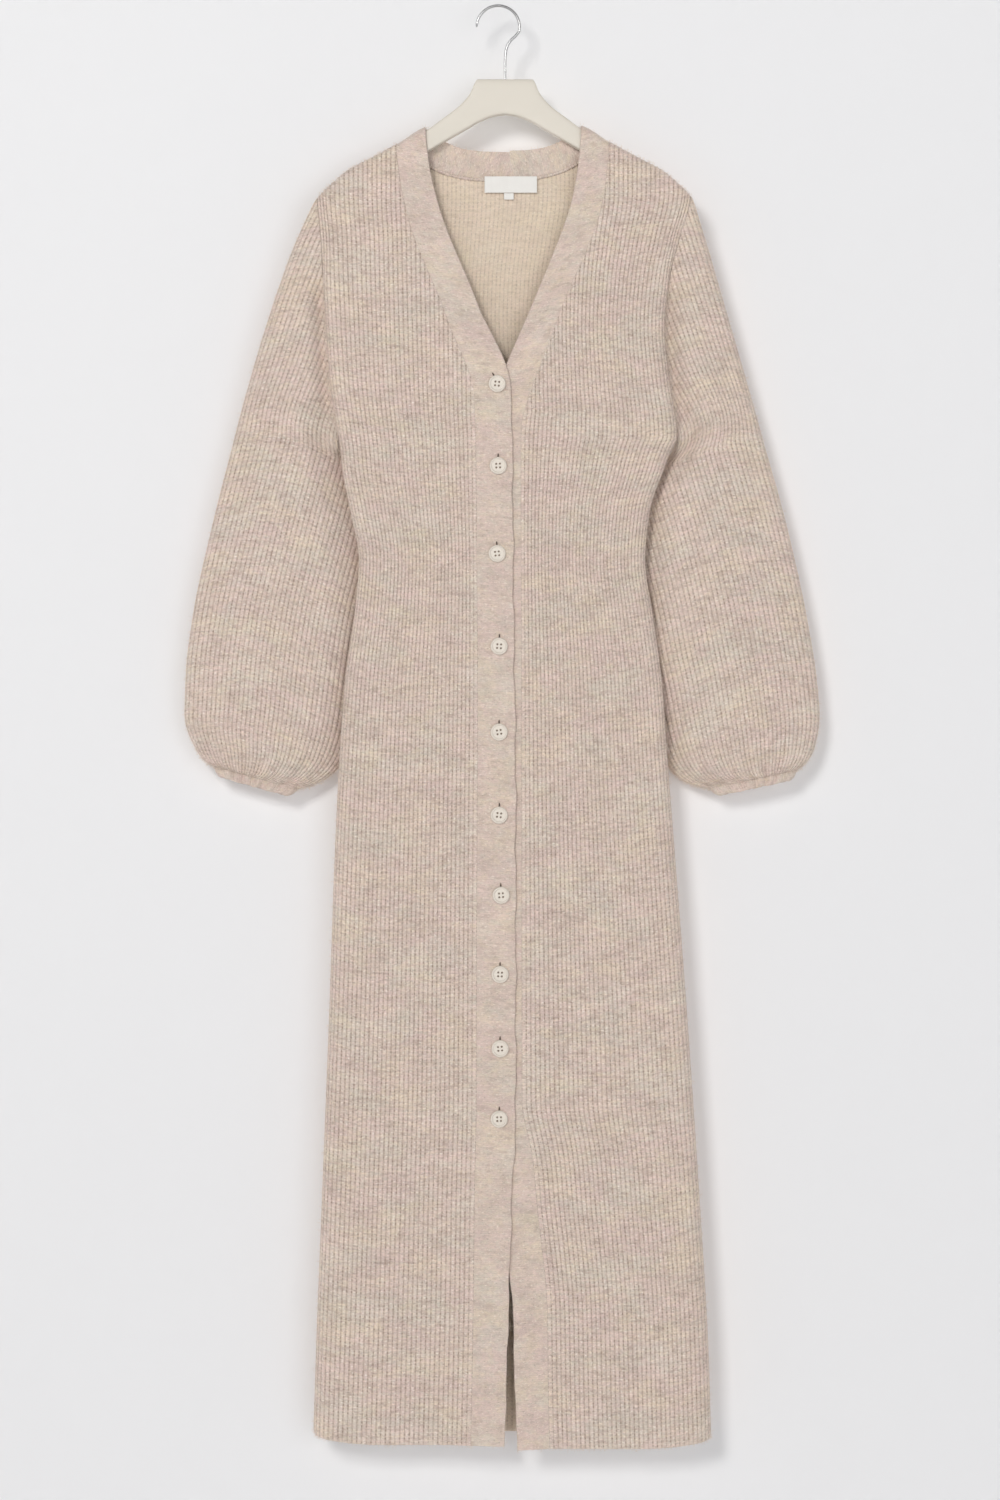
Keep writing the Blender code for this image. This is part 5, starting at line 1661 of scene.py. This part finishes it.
class DRESS_OT_stage(bpy.types.Operator):
    """Set up the wall, the floor, the lights and the camera"""

    bl_idname = "dress.stage"
    bl_label = "Stage"

    def execute(self, context):
        low, wide, high = FLOOR["z"], WALL["half_width"], WALL["top"]
        places = ((-wide, low), (wide, low), (wide, high), (-wide, high))
        self.add_plane("studio_wall", [(x, WALL["y"], z) for x, z in places])
        wide = FLOOR["half_width"]
        places = ((-wide, -wide), (wide, -wide), (wide, wide), (-wide, wide))
        self.add_plane("studio_floor", [(x, y, low) for x, y in places])
        for name, place, aim, width, height, watts, colour in LIGHTS:
            light = bpy.data.lights.new(name, "AREA")
            light.shape, light.size, light.size_y = "RECTANGLE", width, height
            light.energy, light.color = watts, colour
            obj = self.add(name, light)
            obj.location = place
            obj.visible_camera = False
            obj.rotation_euler = (Vector(aim) - Vector(place)).to_track_quat("-Z", "Y").to_euler()
        camera = bpy.data.cameras.new("camera")
        camera.lens, camera.sensor_width = CAMERA["lens"], CAMERA["sensor"]
        obj = self.add("camera", camera)
        obj.location = CAMERA["place"]
        obj.rotation_euler = (np.pi / 2, 0, 0)
        context.scene.camera = obj
        context.scene.world = self.studio_room()
        context.scene.view_settings.view_transform = "Standard"
        return {"FINISHED"}

    def add(self, name, data):
        obj = bpy.data.objects.new(name, data)
        bpy.context.scene.collection.objects.link(obj)
        return obj

    def add_plane(self, name, corners):
        mesh = bpy.data.meshes.new(name)
        mesh.from_pydata(corners, [], [(0, 1, 2, 3)])
        mesh.materials.append(finish(studio_wall))
        self.add(name, mesh)

    def studio_room(self):
        """A pale room: bright along the horizon and dim above and below it, by the height of the direction."""
        room = bpy.data.worlds.new("soft studio")
        room.use_nodes = True
        tree, ground = room.node_tree, room.node_tree.nodes["Background"]
        ground.inputs["Color"].default_value = (0.98, 0.985, 1.0, 1)
        place, split = tree.nodes.new("ShaderNodeTexCoord"), tree.nodes.new("ShaderNodeSeparateXYZ")
        height, level = tree.nodes.new("ShaderNodeMath"), tree.nodes.new("ShaderNodeMapRange")
        height.operation, level.interpolation_type = "ABSOLUTE", "SMOOTHSTEP"
        for socket, key in zip(level.inputs[1:5], ("low", "high", "level", "above")):
            socket.default_value = HORIZON[key]
        tree.links.new(place.outputs["Generated"], split.inputs[0])
        tree.links.new(split.outputs["Z"], height.inputs[0])
        tree.links.new(height.outputs[0], level.inputs[0])
        tree.links.new(level.outputs[0], ground.inputs["Strength"])
        return room


# ---------------------------------------------------------------- the panel and the run

PIECES = (
    DRESS_OT_stage,
    DRESS_OT_fronts,
    DRESS_OT_back,
    DRESS_OT_sleeves,
    DRESS_OT_cuffs,
    DRESS_OT_bands,
    DRESS_OT_neck_seam,
    DRESS_OT_buttons,
    DRESS_OT_buttonholes,
    DRESS_OT_labels,
    DRESS_OT_hanger,
    DRESS_OT_hook,
    DRESS_OT_fuzz,
)


class DRESS_PT_pieces(bpy.types.Panel):
    """The dress's sizes, colours and pieces"""

    bl_label = "Knit dress"
    bl_idname = "DRESS_PT_pieces"
    bl_space_type = "VIEW_3D"
    bl_region_type = "UI"
    bl_category = "Dress"

    def draw(self, context):
        for group in (context.scene.dress_sizes, context.scene.dress_colours):
            box = self.layout.box()
            for key in group.__annotations__:
                box.prop(group, key)
        for piece in PIECES:
            self.layout.operator(piece.bl_idname)


CLASSES = (DressSizes, DressColours, *PIECES, DRESS_PT_pieces)


def register():
    for cls in CLASSES:
        bpy.utils.register_class(cls)
    bpy.types.Scene.dress_sizes = PointerProperty(type=DressSizes)
    bpy.types.Scene.dress_colours = PointerProperty(type=DressColours)


def unregister():
    del bpy.types.Scene.dress_colours
    del bpy.types.Scene.dress_sizes
    for cls in reversed(CLASSES):
        bpy.utils.unregister_class(cls)


def main():
    register()
    for piece in PIECES:
        group, name = piece.bl_idname.split(".")
        getattr(getattr(bpy.ops, group), name)()


if __name__ == "__main__":
    main()
